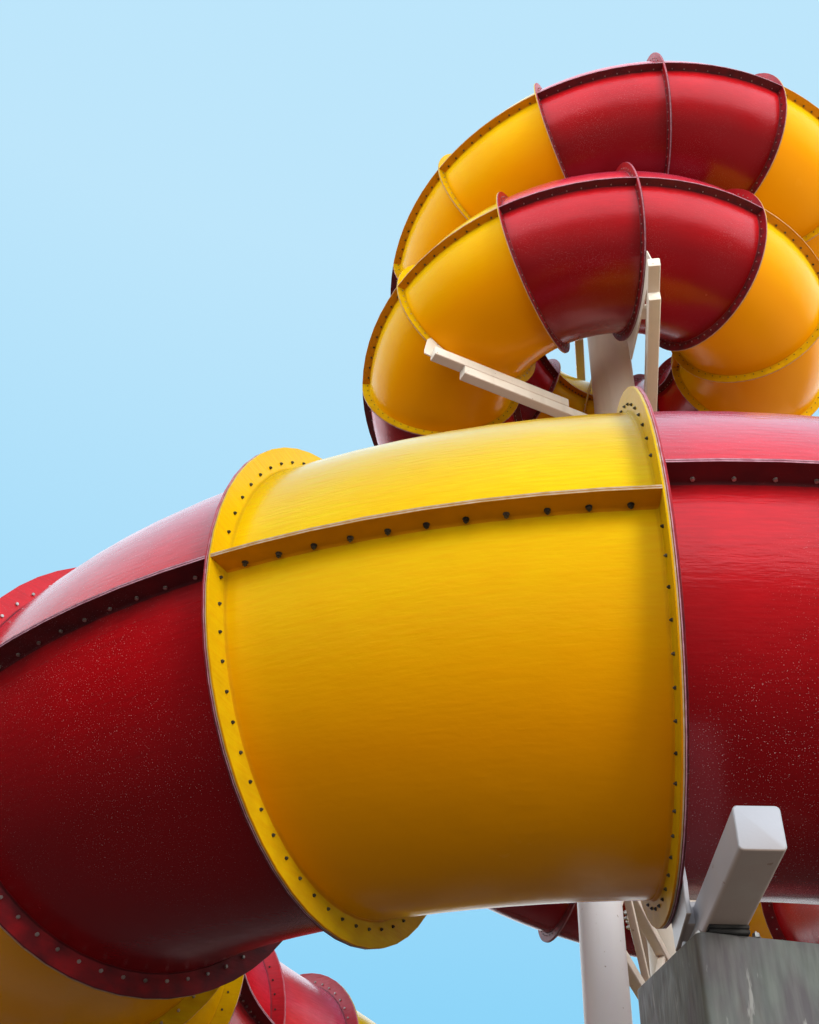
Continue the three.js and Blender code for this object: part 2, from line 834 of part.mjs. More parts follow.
// Run-out frames: a cross beam on two legs below a ring flange
function runoutFrame(name, joint) {
  const station = stationAt(joint);
  const half = NEAR_BEAM / 2;
  const level = station.centre.z - SEAT_LEVEL * station.up.z;
  const upstream = station.along.clone().negate().setZ(0).normalize();
  const seat = station.centre.clone().addScaledVector(station.up, -SEAT_LEVEL);
  seat.addScaledVector(upstream, SEAT_FACE + PLATE - 2 + half).setZ(0);
  const frame = frameOf(seat, station.out, upstream.clone(), UP);
  if (frame.determinant() < 0) {
    frame.makeBasis(station.out, upstream.clone().negate(), UP).setPosition(seat);
  }
  const parts = [
    boxOn(frame, [-640, -half, level - NEAR_BEAM], [640, half, level]),
    seatPlate(station, UNDER, 420, half),
  ];
  for (const side of [-1, 1]) {
    parts.push(
      boxOn(
        frame,
        [side * 560 - 45, -45, 8],
        [side * 560 + 45, 45, level - NEAR_BEAM + 2],
      ),
      boxOn(frame, [side * 560 - 120, -120, 0], [side * 560 + 120, 120, 16]),
    );
  }
  add(name, geometryOf(union(parts)), CREAM);
}

runoutFrame("runout_frame_1", 49);
runoutFrame("runout_frame_2", 50);
runoutFrame("runout_frame_3", 51);

export default tower;
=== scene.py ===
import functools
import json
import math

import bpy
from mathutils import Matrix, Vector

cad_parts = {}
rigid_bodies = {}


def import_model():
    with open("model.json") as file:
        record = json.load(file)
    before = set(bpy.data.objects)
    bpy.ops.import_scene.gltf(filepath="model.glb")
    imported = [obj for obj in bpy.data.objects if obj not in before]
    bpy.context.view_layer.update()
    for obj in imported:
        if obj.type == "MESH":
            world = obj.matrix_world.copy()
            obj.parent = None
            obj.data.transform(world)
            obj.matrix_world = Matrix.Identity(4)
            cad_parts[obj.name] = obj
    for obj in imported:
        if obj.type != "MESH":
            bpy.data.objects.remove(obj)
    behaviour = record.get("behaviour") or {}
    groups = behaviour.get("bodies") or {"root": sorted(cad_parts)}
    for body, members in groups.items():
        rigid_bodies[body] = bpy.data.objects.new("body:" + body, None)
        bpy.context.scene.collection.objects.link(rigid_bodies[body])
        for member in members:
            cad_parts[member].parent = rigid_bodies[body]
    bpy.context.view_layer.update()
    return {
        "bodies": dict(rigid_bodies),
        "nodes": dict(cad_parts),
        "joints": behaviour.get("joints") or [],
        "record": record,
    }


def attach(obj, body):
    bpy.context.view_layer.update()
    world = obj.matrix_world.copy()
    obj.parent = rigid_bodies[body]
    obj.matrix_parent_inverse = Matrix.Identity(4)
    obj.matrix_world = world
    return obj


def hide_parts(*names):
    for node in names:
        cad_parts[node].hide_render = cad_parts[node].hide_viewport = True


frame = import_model()


# View: the tower is looked up at from the ground beside its near bend.
# The camera stands at eye height and is a little tilted, as the photograph is.
CAMERA_PLACE = Vector((-1.983, -7.713, 1.6))
CAMERA_PITCH = math.radians(40.381)
CAMERA_ROLL = math.radians(2.772)
CAMERA_LENS = 39.5
SENSOR_WIDTH = 36
VIEW_REACH = 200


def put_in_scene(name, data):
    """A new object in the scene that shows the given data."""
    made = bpy.data.objects.new(name, data)
    bpy.context.scene.collection.objects.link(made)
    return made


def frame_of(origin, x, y, z):
    """Matrix that takes places along three axes to the tower's own frame."""
    return Matrix.Translation(origin) @ Matrix((x, y, z)).transposed().to_4x4()


forward = Vector((0, math.cos(CAMERA_PITCH), math.sin(CAMERA_PITCH)))
level_up = Vector((0, -math.sin(CAMERA_PITCH), math.cos(CAMERA_PITCH)))
right = Vector((1, 0, 0)) * math.cos(CAMERA_ROLL) + level_up * math.sin(CAMERA_ROLL)

camera = put_in_scene("camera", bpy.data.cameras.new("camera"))
camera.data.lens = CAMERA_LENS
camera.data.sensor_width = SENSOR_WIDTH
camera.data.clip_end = VIEW_REACH
camera.matrix_world = frame_of(CAMERA_PLACE, right, right.cross(forward), -forward)
bpy.context.scene.camera = camera
bpy.context.scene.view_settings.view_transform = "Standard"


# Studio: a pale floor, a blue sky behind and a broad soft light from the right in front.
# Gloss shows a bright sky over dark ground, the horizon's haze lights the undersides, and
# high turns get a light from the left, which a dark screen keeps off the near bend.
FLOOR_CORNERS = [(-13, -14, 0), (13, -14, 0), (13, 12, 0), (-13, 12, 0)]
SCREEN_PLACE = (-3.0, -3.0)
SCREEN_DISTANCE = 11.0
SCREEN_HEIGHT = 9.6
SCREEN_HEADINGS = range(225, 326, 10)


def lamp(name, heading, height, power, angle, colour):
    """A far soft light that shines from a compass heading and a height in degrees."""
    data = bpy.data.lights.new(name, "SUN")
    data.energy = power
    data.angle = math.radians(angle)
    data.color = colour
    made = put_in_scene(name, data)
    made.visible_glossy = False
    a, h = math.radians(heading), math.radians(height)
    way = Vector((math.sin(a) * math.cos(h), math.cos(a) * math.cos(h), math.sin(h)))
    made.rotation_euler = way.to_track_quat("Z", "Y").to_euler()


lamp("key_light", heading=146, height=19, power=2.6, angle=24, colour=(1.0, 0.96, 0.90))
lamp("side_light", heading=245, height=12, power=1.7, angle=30, colour=(1.0, 0.97, 0.92))


def is_socket(value):
    return isinstance(value, bpy.types.NodeSocket)


class Nodes:
    """A node tree, with short ways to add and link its nodes."""

    def __init__(self, tree):
        self.tree = tree

    @functools.cached_property
    def where(self):
        """What textures lie on: the object's coordinates, unless a group sets others."""
        return self.add("ShaderNodeTexCoord").outputs["Object"]

    def give(self, socket, value):
        """Links another socket to an input, or sets the input to a plain value."""
        if is_socket(value):
            self.tree.links.new(value, socket)
        else:
            socket.default_value = value

    def add(self, kind, inputs=(), **settings):
        """A new node with its settings, and its inputs by name or number."""
        made = self.tree.nodes.new(kind)
        for name, value in settings.items():
            setattr(made, name, value)
        for name, value in dict(inputs).items():
            self.give(made.inputs[name], value)
        return made

    def plus(self, a, b):
        return self.add("ShaderNodeMath", {0: a, 1: b}, operation="ADD").outputs["Value"]

    def times(self, a, b):
        return self.add("ShaderNodeMath", {0: a, 1: b}, operation="MULTIPLY").outputs["Value"]

    def vector(self, operation, a, b=None, factor=None):
        """A vector sum, product or the like, of sockets or of plain values."""
        inputs = {0: a, 1: b, "Scale": factor}
        given = {name: value for name, value in inputs.items() if value is not None}
        return self.add("ShaderNodeVectorMath", given, operation=operation).outputs["Vector"]

    def between(self, value, low, high, new_low=0.0, new_high=1.0):
        """Maps the range low to high onto a new range, and holds it there."""
        names = ("Value", "From Min", "From Max", "To Min", "To Max")
        values = (value, low, high, new_low, new_high)
        return self.add("ShaderNodeMapRange", zip(names, values)).outputs["Result"]

    def noise(self, scale, detail=2.0, stretch=(1, 1, 1)):
        """Noise on the tree's coordinates, drawn out by a factor on each axis."""
        drawn = self.add("ShaderNodeMapping", {"Vector": self.where, "Scale": stretch})
        inputs = {"Vector": drawn.outputs["Vector"], "Scale": scale, "Detail": detail}
        return self.add("ShaderNodeTexNoise", inputs).outputs["Fac"]

    def blended(self, mask, *colours):
        """The first colour where the mask is 0, the second where it is 1."""
        a, b = [colour if is_socket(colour) else (*colour, 1) for colour in colours]
        return self.add("ShaderNodeMix", {0: mask, 6: a, 7: b}, data_type="RGBA").outputs[2]

    def surface(self, **inputs):
        """Sets inputs of a material's shader; underscores stand for spaces."""
        shader = self.tree.nodes["Principled BSDF"]
        for name, value in inputs.items():
            self.give(shader.inputs[name.replace("_", " ")], value)

    def bump(self, height, strength, distance):
        inputs = {"Height": height, "Strength": strength, "Distance": distance}
        self.surface(Normal=self.add("ShaderNodeBump", inputs).outputs["Normal"])

    def group(self, nodes):
        """Outputs of a shared group that lies on this tree's coordinates."""
        made = self.add("ShaderNodeGroup", node_tree=nodes.tree)
        self.give(made.inputs["Coordinates"], self.where)
        return made.outputs

    def close(self, kind, outputs):
        """Gives a group its outputs, which are all of one kind."""
        for label in outputs:
            self.tree.interface.new_socket(
                name=label, in_out="OUTPUT", socket_type="NodeSocket" + kind
            )
        self.add("NodeGroupOutput", outputs)


def new_finish(name):
    finish = bpy.data.materials.new(name)
    finish.use_nodes = True
    return finish, Nodes(finish.node_tree)


def new_piece(name, points, faces=()):
    mesh = bpy.data.meshes.new(name)
    mesh.from_pydata(points, [], faces)
    return put_in_scene(name, mesh)


world = bpy.data.worlds.new("pale_sky")
bpy.context.scene.world = world
world.use_nodes = True
sky = Nodes(world.node_tree)
direction = sky.add("ShaderNodeTexCoord").outputs["Generated"]
upward_share = sky.add("ShaderNodeSeparateXYZ", {"Vector": direction}).outputs["Z"]
sky_level = sky.between(upward_share, -1, 1)
ray = sky.add("ShaderNodeLightPath").outputs


def sky_ramp(first, *middle, last):
    """Colours of the sky, each at the upward share of its direction, from -1 to 1."""
    made = sky.add("ShaderNodeValToRGB", {"Fac": sky_level})
    elements = made.color_ramp.elements
    for element, (share, colour) in zip(elements, (first, last)):
        element.position, element.color = (share + 1) / 2, (*colour, 1)
    for share, colour in middle:
        elements.new((share + 1) / 2).color = (*colour, 1)
    return made.outputs["Color"]


light_sky = sky_ramp(
    (-0.02, (1.8, 1.69, 1.52)), (0.06, (0.66, 0.65, 0.63)), last=(1, (0.50, 0.56, 0.64))
)
gloss_sky = sky_ramp(
    (0.03, (0.02, 0.018, 0.016)), (0.11, (1.6, 1.65, 1.7)), last=(1, (1.1, 1.5, 1.8))
)
seen_sky = sky_ramp((0.28, (0.27, 0.665, 0.947)), last=(0.8, (0.51, 0.79, 0.97)))
lit_sky = sky.blended(ray["Is Glossy Ray"], light_sky, gloss_sky)
shown_sky = sky.blended(ray["Is Camera Ray"], lit_sky, seen_sky)
sky.give(sky.tree.nodes["Background"].inputs["Color"], shown_sky)

# The floor is pale to the camera, darker to bounced light and near black in reflections, a
# painted dark reflection of ground.
floor_finish, floor_nodes = new_finish("pale_floor")
clouds = floor_nodes.add("ShaderNodeTexNoise", {"Scale": 0.8}).outputs["Fac"]
seen_floor = floor_nodes.blended(clouds, (0.48, 0.47, 0.45), (0.54, 0.53, 0.51))
ray = floor_nodes.add("ShaderNodeLightPath").outputs
lit_floor = floor_nodes.blended(
    ray["Is Glossy Ray"], (0.19, 0.18, 0.165), (0.03, 0.028, 0.025)
)
shown_floor = floor_nodes.blended(ray["Is Camera Ray"], lit_floor, seen_floor)
floor_nodes.surface(Base_Color=shown_floor, Roughness=0.9)
floor = new_piece("floor", FLOOR_CORNERS, [(0, 1, 2, 3)])
floor.data.materials.append(floor_finish)

screen_points = []
for heading in SCREEN_HEADINGS:
    a = math.radians(heading)
    for z in (0, SCREEN_HEIGHT):
        x = SCREEN_PLACE[0] + SCREEN_DISTANCE * math.sin(a)
        y = SCREEN_PLACE[1] + SCREEN_DISTANCE * math.cos(a)
        screen_points.append((x, y, z))
screen_faces = [(i, i + 2, i + 3, i + 1) for i in range(0, len(screen_points) - 2, 2)]
screen = new_piece("side_screen", screen_points, screen_faces)
screen.visible_camera = False
screen_finish, screen_nodes = new_finish("dark_screen")
screen_nodes.surface(Base_Color=(0.03, 0.03, 0.03, 1), Roughness=1)
screen.data.materials.append(screen_finish)


# Flume line: the route that riders take, as the centre line of every tube.
# It winds clockwise down the mast, swings round the near bend and runs out straight.
UP = Vector((0, 0, 1))
TOP_TURN = (0.314, 0.070, 1.835)
LOWER_TURN = (-0.164, 0.0, 1.563)
NEAR_BEND = (-1.023, -2.518, 2.400)
TURN_START, TOP_END, BACK_END = 39.22, -172.55, -361.41
MIDDLE_END, LOWER_END = -539.7, -1080.5
BEND_START, BEND_FRONT, BEND_LEFT, BEND_END = -0.5, -96.1, -139.88, -227.5
RUNOUT_LENGTH = 6.0
# Height of the line at ring joints, which are counted from the upper end.
JOINT_HEIGHTS = {0: 11.953, 4: 11.676, 8: 11.399, 11: 10.830, 14: 10.243, 17: 10.014}
JOINT_HEIGHTS |= {20: 9.784, 21: 9.600, 22: 9.270, 25: 8.000, 28: 6.600, 30: 6.170}
JOINT_HEIGHTS |= {32: 5.900, 34: 5.500, 36: 4.820, 38: 4.050, 40: 3.560, 42: 3.492}
JOINT_HEIGHTS |= {44: 3.470, 46: 3.300, 48: 3.080, 50: 2.050, 52: 0.900}
SAMPLES = 16
LENGTH_STEPS = 8
# The line runs on a little past both ends, so that the end flanges lie square to it.
LINE_MARGIN = 2


def mix(a, b, t):
    return a + (b - a) * t


def circle_point(turn, angle):
    x, y, radius = turn
    a = math.radians(angle)
    return (x + radius * math.cos(a), y + radius * math.sin(a))


def tower_point(angle):
    t = min(1, max(0, (TOP_END - angle) / (TOP_END - BACK_END)))
    share = t * t * (3 - 2 * t)
    turn = [mix(a, b, share) for a, b in zip(TOP_TURN, LOWER_TURN)]
    return circle_point(turn, angle)


def bend_point(angle):
    return circle_point(NEAR_BEND, angle)


def straight(start, end):
    return lambda t: (mix(start[0], end[0], t), mix(start[1], end[1], t))


def turning(point, start, end):
    return lambda t: point(mix(start, end, t))


runout_start = bend_point(BEND_END)
runout_way = math.radians(BEND_END - 90)
runout_end = (
    runout_start[0] + RUNOUT_LENGTH * math.cos(runout_way),
    runout_start[1] + RUNOUT_LENGTH * math.sin(runout_way),
)
# Number of sections in each stretch of the line, and its plan.
RUNS = [
    (8, turning(tower_point, TURN_START, TOP_END)),
    (6, turning(tower_point, TOP_END, BACK_END)),
    (6, turning(tower_point, BACK_END, MIDDLE_END)),
    (16, turning(tower_point, MIDDLE_END, LOWER_END)),
    (2, straight(tower_point(LOWER_END), bend_point(BEND_START))),
    (4, turning(bend_point, BEND_START, BEND_FRONT)),
    (2, turning(bend_point, BEND_FRONT, BEND_LEFT)),
    (4, turning(bend_point, BEND_LEFT, BEND_END)),
    (4, straight(runout_start, runout_end)),
]
JOINTS = sum(count for count, _ in RUNS)


def plan_at(place):
    """Plan position after a number of sections, which may end in a fraction."""
    start = 0
    for count, at in RUNS:
        if place < start + count or at is RUNS[-1][1]:
            return at((place - start) / count)
        start += count


travelled = [0.0]
for joint in range(JOINTS):
    run = 0.0
    for step in range(LENGTH_STEPS):
        a = plan_at(joint + step / LENGTH_STEPS)
        b = plan_at(joint + (step + 1) / LENGTH_STEPS)
        run += math.dist(a, b)
    travelled.append(travelled[-1] + run)

knots = [(travelled[joint], height) for joint, height in JOINT_HEIGHTS.items()]
falls = [(b[1] - a[1]) / (b[0] - a[0]) for a, b in zip(knots, knots[1:])]
slopes = [2 * a * b / (a + b) for a, b in zip(falls, falls[1:])]
slopes = [falls[0], *slopes, falls[-1]]


def height_at(place):
    """Height of the line, smooth through the joint heights and straight past them."""
    whole = min(JOINTS - 1, max(0, math.floor(place)))
    s = mix(travelled[whole], travelled[whole + 1], place - whole)
    i = 0
    while i < len(knots) - 2 and s > knots[i + 1][0]:
        i += 1
    span = knots[i + 1][0] - knots[i][0]
    t = min(1, max(0, (s - knots[i][0]) / span))
    over = s - mix(knots[i][0], knots[i + 1][0], t)
    height = (
        knots[i][1] * (2 * t**3 - 3 * t**2 + 1)
        + slopes[i] * span * (t**3 - 2 * t**2 + t)
        + knots[i + 1][1] * (3 * t**2 - 2 * t**3)
        + slopes[i + 1] * span * (t**3 - t**2)
    )
    return height + over * (slopes[i] if over < 0 else slopes[i + 1])


def line_point(place):
    return Vector((*plan_at(place), height_at(place)))


def station_at(place):
    """Centre of the flume at a place, with its direction, outward and upward axes."""
    along = (line_point(place + 0.01) - line_point(place - 0.01)).normalized()
    out = UP.cross(along).normalized()
    return line_point(place), along, out, along.cross(out)


steps = range(-LINE_MARGIN, JOINTS * SAMPLES + LINE_MARGIN + 1)
line_points = [line_point(step / SAMPLES) for step in steps]
line_lengths = [0.0]
for a, b in zip(line_points, line_points[1:]):
    line_lengths.append(line_lengths[-1] + (b - a).length)


def length_at(place):
    """Distance along the line, in metres, of a place counted in sections."""
    at = place * SAMPLES + LINE_MARGIN
    i = min(len(line_lengths) - 2, int(at))
    return mix(line_lengths[i], line_lengths[i + 1], at - i)


line_data = bpy.data.curves.new("flume_line", "CURVE")
line_data.dimensions = "3D"
line_spline = line_data.splines.new("POLY")
line_spline.points.add(len(line_points) - 1)
for spot, point in zip(line_spline.points, line_points):
    spot.co = (*point, 1)
flume_line = put_in_scene("flume_line", line_data)


def open_group(kind, name, inputs):
    """A new node group with its inputs, as its nodes and the inputs' sockets."""
    tree = bpy.data.node_groups.new(name, kind)
    for label, socket_kind in inputs.items():
        tree.interface.new_socket(
            name=label, in_out="INPUT", socket_type="NodeSocket" + socket_kind
        )
    nodes = Nodes(tree)
    return nodes, nodes.add("NodeGroupInput").outputs


def attribute_of(nodes, name, kind):
    made = nodes.add("GeometryNodeInputNamedAttribute", {"Name": name}, data_type=kind)
    return made.outputs["Attribute"]


# Geometry Nodes tree that bends a straight piece round the flume line. Each point's X is
# its distance along the line, Y and Z its places outward and upward from the centre.
def make_bending_tree():
    sockets = {"Geometry": "Geometry", "Flume line": "Object"}
    nodes, given = open_group("GeometryNodeTree", "lay_on_flume_line", sockets)
    position = nodes.add("GeometryNodeInputPosition").outputs["Position"]
    place = nodes.add("ShaderNodeSeparateXYZ", {"Vector": position}).outputs
    line = nodes.add("GeometryNodeObjectInfo", {"Object": given["Flume line"]})
    sample = nodes.add(
        "GeometryNodeSampleCurve",
        {"Curves": line.outputs["Geometry"], "Length": place["X"]},
        mode="LENGTH",
        use_all_curves=True,
    ).outputs
    along = nodes.vector("NORMALIZE", sample["Tangent"])
    out = nodes.vector("NORMALIZE", nodes.vector("CROSS_PRODUCT", (0, 0, 1), along))
    upward = nodes.vector("CROSS_PRODUCT", along, out)

    def in_world(*places):
        parts = [
            nodes.vector("SCALE", axis, factor=factor)
            for axis, factor in zip((along, out, upward), places)
        ]
        return nodes.vector("ADD", nodes.vector("ADD", parts[0], parts[1]), parts[2])

    offset = in_world(attribute_of(nodes, "shift", "FLOAT"), place["Y"], place["Z"])
    aim = attribute_of(nodes, "aim", "FLOAT_VECTOR")
    aim = nodes.add("ShaderNodeSeparateXYZ", {"Vector": aim}).outputs
    kept = nodes.add("GeometryNodeCaptureAttribute")
    kept.capture_items.new("VECTOR", "Aim")
    nodes.give(kept.inputs["Geometry"], given["Geometry"])
    nodes.give(kept.inputs["Aim"], in_world(aim["X"], aim["Y"], aim["Z"]))
    place_in_world = nodes.vector("ADD", sample["Position"], offset)
    moved = nodes.add(
        "GeometryNodeSetPosition",
        {"Geometry": kept.outputs["Geometry"], "Position": place_in_world},
    )
    stored = nodes.add("GeometryNodeStoreNamedAttribute", data_type="FLOAT_VECTOR")
    nodes.give(stored.inputs["Name"], "world_aim")
    nodes.give(stored.inputs["Geometry"], moved.outputs["Geometry"])
    nodes.give(stored.inputs["Value"], kept.outputs["Aim"])
    nodes.close("Geometry", {"Geometry": stored.outputs["Geometry"]})
    return nodes.tree


bending_tree = make_bending_tree()


def add_tree(piece, tree, values):
    """Puts a Geometry Nodes tree on a piece and sets its inputs by their labels."""
    modifier = piece.modifiers.new(tree.name, "NODES")
    modifier.node_group = tree
    for item in tree.interface.items_tree:
        if item.in_out == "INPUT" and item.name in values:
            modifier[item.identifier] = values[item.name]


def store(piece, name, values):
    """Keeps a number or a vector for each point of a piece."""
    of_vectors = hasattr(values[0], "__len__")
    kind, field = ("FLOAT_VECTOR", "vector") if of_vectors else ("FLOAT", "value")
    flat = [v for vector in values for v in vector] if of_vectors else values
    piece.data.attributes.new(name, kind, "POINT").data.foreach_set(field, flat)


def settle(piece):
    """Turns a piece with modifiers into a plain mesh."""
    graph = bpy.context.evaluated_depsgraph_get()
    made = bpy.data.meshes.new_from_object(piece.evaluated_get(graph))
    piece.modifiers.clear()
    old, piece.data = piece.data, made
    made.name = piece.name
    bpy.data.meshes.remove(old)


def smooth_shade(mesh, degrees):
    """Smooths all but sharp edges, and leaves caps of five corners or more flat."""
    curved = [len(face.vertices) < 5 for face in mesh.polygons]
    mesh.polygons.foreach_set("use_smooth", curved)
    mesh.set_sharp_from_angle(angle=math.radians(degrees))


def hand_over(piece, cad_node=None):
    """Gives a finished piece to the frame, in place of the CAD node it stands for."""
    if cad_node:
        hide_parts(cad_node)
    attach(piece, "root")


# Gelcoat tubes: half shells of glass-fibre laminate, moulded with a ring flange at each end
# and a long flange down each side, then bolted face to face. The moulded side is glossy
# red or yellow; the flanges' trimmed edges show the paler laminate.
BORE_RADIUS = 0.700
TUBE_RADIUS = 0.710
FLANGE_RADIUS = 0.785
FLANGE_THICKNESS = 0.010
LONG_THICKNESS = 0.0062
LONG_END = FLANGE_THICKNESS - 0.001
RIM_EDGE = 0.0042
MAST_JOINTS = 37
RING_BOLT_RADIUS = 0.733
JOINT_HALF = 0.0004
TUBE_SIDES = 56
TUBE_STEP = 0.11
TUBE_SMOOTHING = 32
ROOT_RADIUS = 0.716
LONG_ROOT = 0.72
# Distance from the joint and radius of each edge of a ring flange, with its root fillet.
FLANGE_PROFILE = [
    (JOINT_HALF, 0.7835),
    (0.0012, FLANGE_RADIUS),
    (RIM_EDGE, FLANGE_RADIUS),
    (0.0084, FLANGE_RADIUS),
    (0.0100, 0.7835),
    (0.0100, 0.7190),
    (0.0112, 0.7135),
    (0.0150, 0.7108),
    (0.0240, TUBE_RADIUS),
]
# Distance outward and upward of each edge of a long flange, from its root round to its root.
LONG_PROFILE = [
    (0.7040, 0.0006),
    (0.7842, 0.0006),
    (FLANGE_RADIUS, 0.0010),
    (FLANGE_RADIUS, 0.0056),
    (0.7844, LONG_THICKNESS),
    (0.7170, LONG_THICKNESS),
    (0.7130, 0.0080),
    (0.7095, 0.0130),
    (0.7040, 0.0130),
]
# Lengths of flume in each stretch. A length has two sections, or one in the bend's front,
# and the colours take turns. Some lengths of the bend are rolled by a few degrees.
STRETCHES = {"top": 4, "back": 3, "middle": 3, "lower": 8, "link": 1, "bend": 6, "runout": 2}
SINGLE_SECTIONS = ("flume_bend_3", "flume_bend_4")
ROLLS = {"flume_bend_2": 3, "flume_bend_3": -3.2, "flume_bend_4": -3.2, "flume_bend_5": -3.2}

flumes = []
for stretch, count in STRETCHES.items():
    for i in range(count):
        name = f"flume_{stretch}_{i + 1}" if count > 1 else "flume_" + stretch
        first = flumes[-1][2] if flumes else 0
        last = first + (1 if name in SINGLE_SECTIONS else 2)
        colour = "yellow" if len(flumes) % 2 else "red"
        flumes.append((name, first, last, colour, ROLLS.get(name, 0)))

# Shared group: masks for an outdoor surface. Top faces get a mask for a painted top tone,
# undersides a mask for painted shade, and small spots and faint runs lie on it.
weather_group, given = open_group("ShaderNodeTree", "weather", {"Coordinates": "Vector"})
weather_group.where = given["Coordinates"]
facing = weather_group.add("ShaderNodeNewGeometry").outputs["Normal"]
facing_up = weather_group.add("ShaderNodeSeparateXYZ", {"Vector": facing}).outputs["Z"]
mottle = weather_group.noise(2.2, 4)
spot_field = weather_group.between(weather_group.noise(300, 1), 0.68, 0.78)
spot_patch = weather_group.between(weather_group.noise(1.3, 2), 0.40, 0.66)
# Painted light: the top mask sets where a painted top tone goes; the Shade mask sets painted
# shade.
painted_top = weather_group.times(
    weather_group.between(facing_up, 0.08, 0.70),
    weather_group.between(mottle, 0.2, 0.75, 0.6),
)
weather_values = {
    "Bleach": painted_top,
    "Shade": weather_group.between(facing_up, 0.08, -0.75),
    "Mottle": mottle,
    "Spots": weather_group.times(spot_field, spot_patch),
    "Runs": weather_group.between(weather_group.noise(9, 3, (1, 1, 0.12)), 0.5, 0.8),
}
weather_group.close("Float", weather_values)

# Shared group: the moulded gelcoat's relief, from long mould waves to fine orange peel and
# the drawn-out brush marks under it.
skin_group, given = open_group("ShaderNodeTree", "gelcoat_relief", {"Coordinates": "Vector"})
skin_group.where = given["Coordinates"]
brush = skin_group.noise(11, 3, (1, 1, 10))
relief = skin_group.times(skin_group.noise(6, 1), 1.6)
for marks, height in (
    (skin_group.noise(190, 2), 0.10),
    (brush, 0.45),
    (skin_group.noise(26, 2, (1, 1, 3.5)), 0.40),
):
    relief = skin_group.plus(relief, skin_group.times(marks, height))
skin_group.close("Float", {"Height": relief, "Brush": brush})


def gelcoat(name, plain, painted_top_colour, deep_tone_and_painted_shade, darkening, darkening_strength, tint, gloss, specks):
    """Glossy pigmented resin: a painted top tone, painted shade below, grime and painted shade
    at flange roots.
    """
    finish, nodes = new_finish(name)
    weather, skin = nodes.group(weather_group), nodes.group(skin_group)
    patches = nodes.between(weather["Mottle"], 0.25, 0.75, 0.0, 0.35)
    base = nodes.blended(patches, plain, deep_tone_and_painted_shade)
    # Painted shade: faces turned down take the deep colour.
    base = nodes.blended(weather["Shade"], base, deep_tone_and_painted_shade)
    # Painted light: top faces take the painted top colour, a pale sheen on red and a darker
    # top on yellow.
    base = nodes.blended(weather["Bleach"], base, painted_top_colour)
    base = nodes.blended(nodes.between(skin["Brush"], 0.35, 0.7, 0.0, 0.26), base, deep_tone_and_painted_shade)
    # Grime and painted shade: the bore, seams, flange roots, long flange undersides and lower
    # flange faces darken, in noisy patches.
    grime = nodes.add("ShaderNodeAttribute", attribute_name="grime").outputs["Fac"]
    darkening_amount = nodes.between(nodes.noise(14, 3), 0.3, 0.7, 0.6 * darkening_strength, darkening_strength)
    base = nodes.blended(nodes.times(grime, darkening_amount), base, darkening)
    spots = nodes.times(weather["Spots"], specks)
    base = nodes.blended(spots, base, (0.75, 0.6, 0.6))
    rough = nodes.between(weather["Mottle"], 0.2, 0.8, 0.16, 0.25)
    for dulled, more in ((grime, 0.38), (weather["Shade"], 0.04)):
        rough = nodes.plus(rough, nodes.times(dulled, more))
    nodes.surface(Base_Color=base, Roughness=rough)
    nodes.surface(Specular_IOR_Level=gloss, Specular_Tint=(*tint, 1))
    nodes.bump(skin["Height"], 0.75, 0.0022)
    return finish


def laminate_edge(name, pale, dark):
    """Trimmed flange edge: sanded laminate with the colour rubbed thin."""
    finish, nodes = new_finish(name)
    grain = nodes.noise(45, 4)
    base = nodes.blended(nodes.between(grain, 0.35, 0.65), pale, dark)
    nodes.surface(Base_Color=base, Roughness=0.6)
    nodes.bump(grain, 0.4, 0.001)
    return finish


# Painted light and shade: the top colour is a painted sheen on red and a painted darker top on
# yellow, the deep colour also paints shade below, and the darkening colour paints grime and
# shade at flange roots.
GELCOAT = {
    "red": gelcoat(
        "gelcoat_red",
        plain=(0.78, 0.0045, 0.011),
        painted_top_colour=(0.32, 0.070, 0.145),
        deep_tone_and_painted_shade=(0.19, 0.0012, 0.003),
        darkening=(0.035, 0.003, 0.005),
        darkening_strength=1.0,
        tint=(1.0, 0.50, 0.56),
        gloss=0.9,
        specks=0.55,
    ),
    "yellow": gelcoat(
        "gelcoat_yellow",
        plain=(0.82, 0.62, 0.003),
        painted_top_colour=(0.47, 0.37, 0.003),
        deep_tone_and_painted_shade=(0.76, 0.28, 0.0005),
        darkening=(0.25, 0.085, 0.004),
        darkening_strength=0.5,
        tint=(1.0, 0.70, 0.30),
        gloss=0.15,
        specks=0.0,
    ),
}
EDGE = {
    "red": laminate_edge("red_flange_edge", (0.52, 0.27, 0.34), (0.34, 0.13, 0.18)),
    "yellow": laminate_edge("yellow_flange_edge", (0.50, 0.38, 0.27), (0.40, 0.26, 0.12)),
}


def rolled(a, b, roll):
    """A place outward and upward from the flume's centre, turned about it."""
    c, s = math.cos(math.radians(roll)), math.sin(math.radians(roll))
    return a * c - b * s, a * s + b * c


class Lay:
    """Points laid out straight: distance, outward and upward place, shift, and grime with
    painted shade.
    """

    def __init__(self):
        self.points, self.shifts, self.grime, self.faces, self.rims = [], [], [], [], []

    def ring(self, place, shift, corners, roll, grime):
        start = len(self.points)
        length = length_at(place)
        self.points += [(length, *rolled(a, b, roll)) for a, b in corners]
        self.shifts += [shift] * len(corners)
        self.grime += grime
        return start

    def face(self, corners, rim=False):
        self.faces.append(corners)
        self.rims.append(rim)


def circle(radius, sides, centre=(0, 0), turn=0.0):
    """Corners of a regular outline about a centre."""
    angles = [2 * math.pi * i / sides + turn for i in range(sides)]
    x, y = centre
    return [(x + radius * math.cos(a), y + radius * math.sin(a)) for a in angles]


def steps_between(joint):
    """Places between two joints, about 10 cm apart and clear of the flanges."""
    length = length_at(joint + 1) - length_at(joint)
    count = max(6, round(length / TUBE_STEP))
    return [joint + k / count for k in range(1, count)]


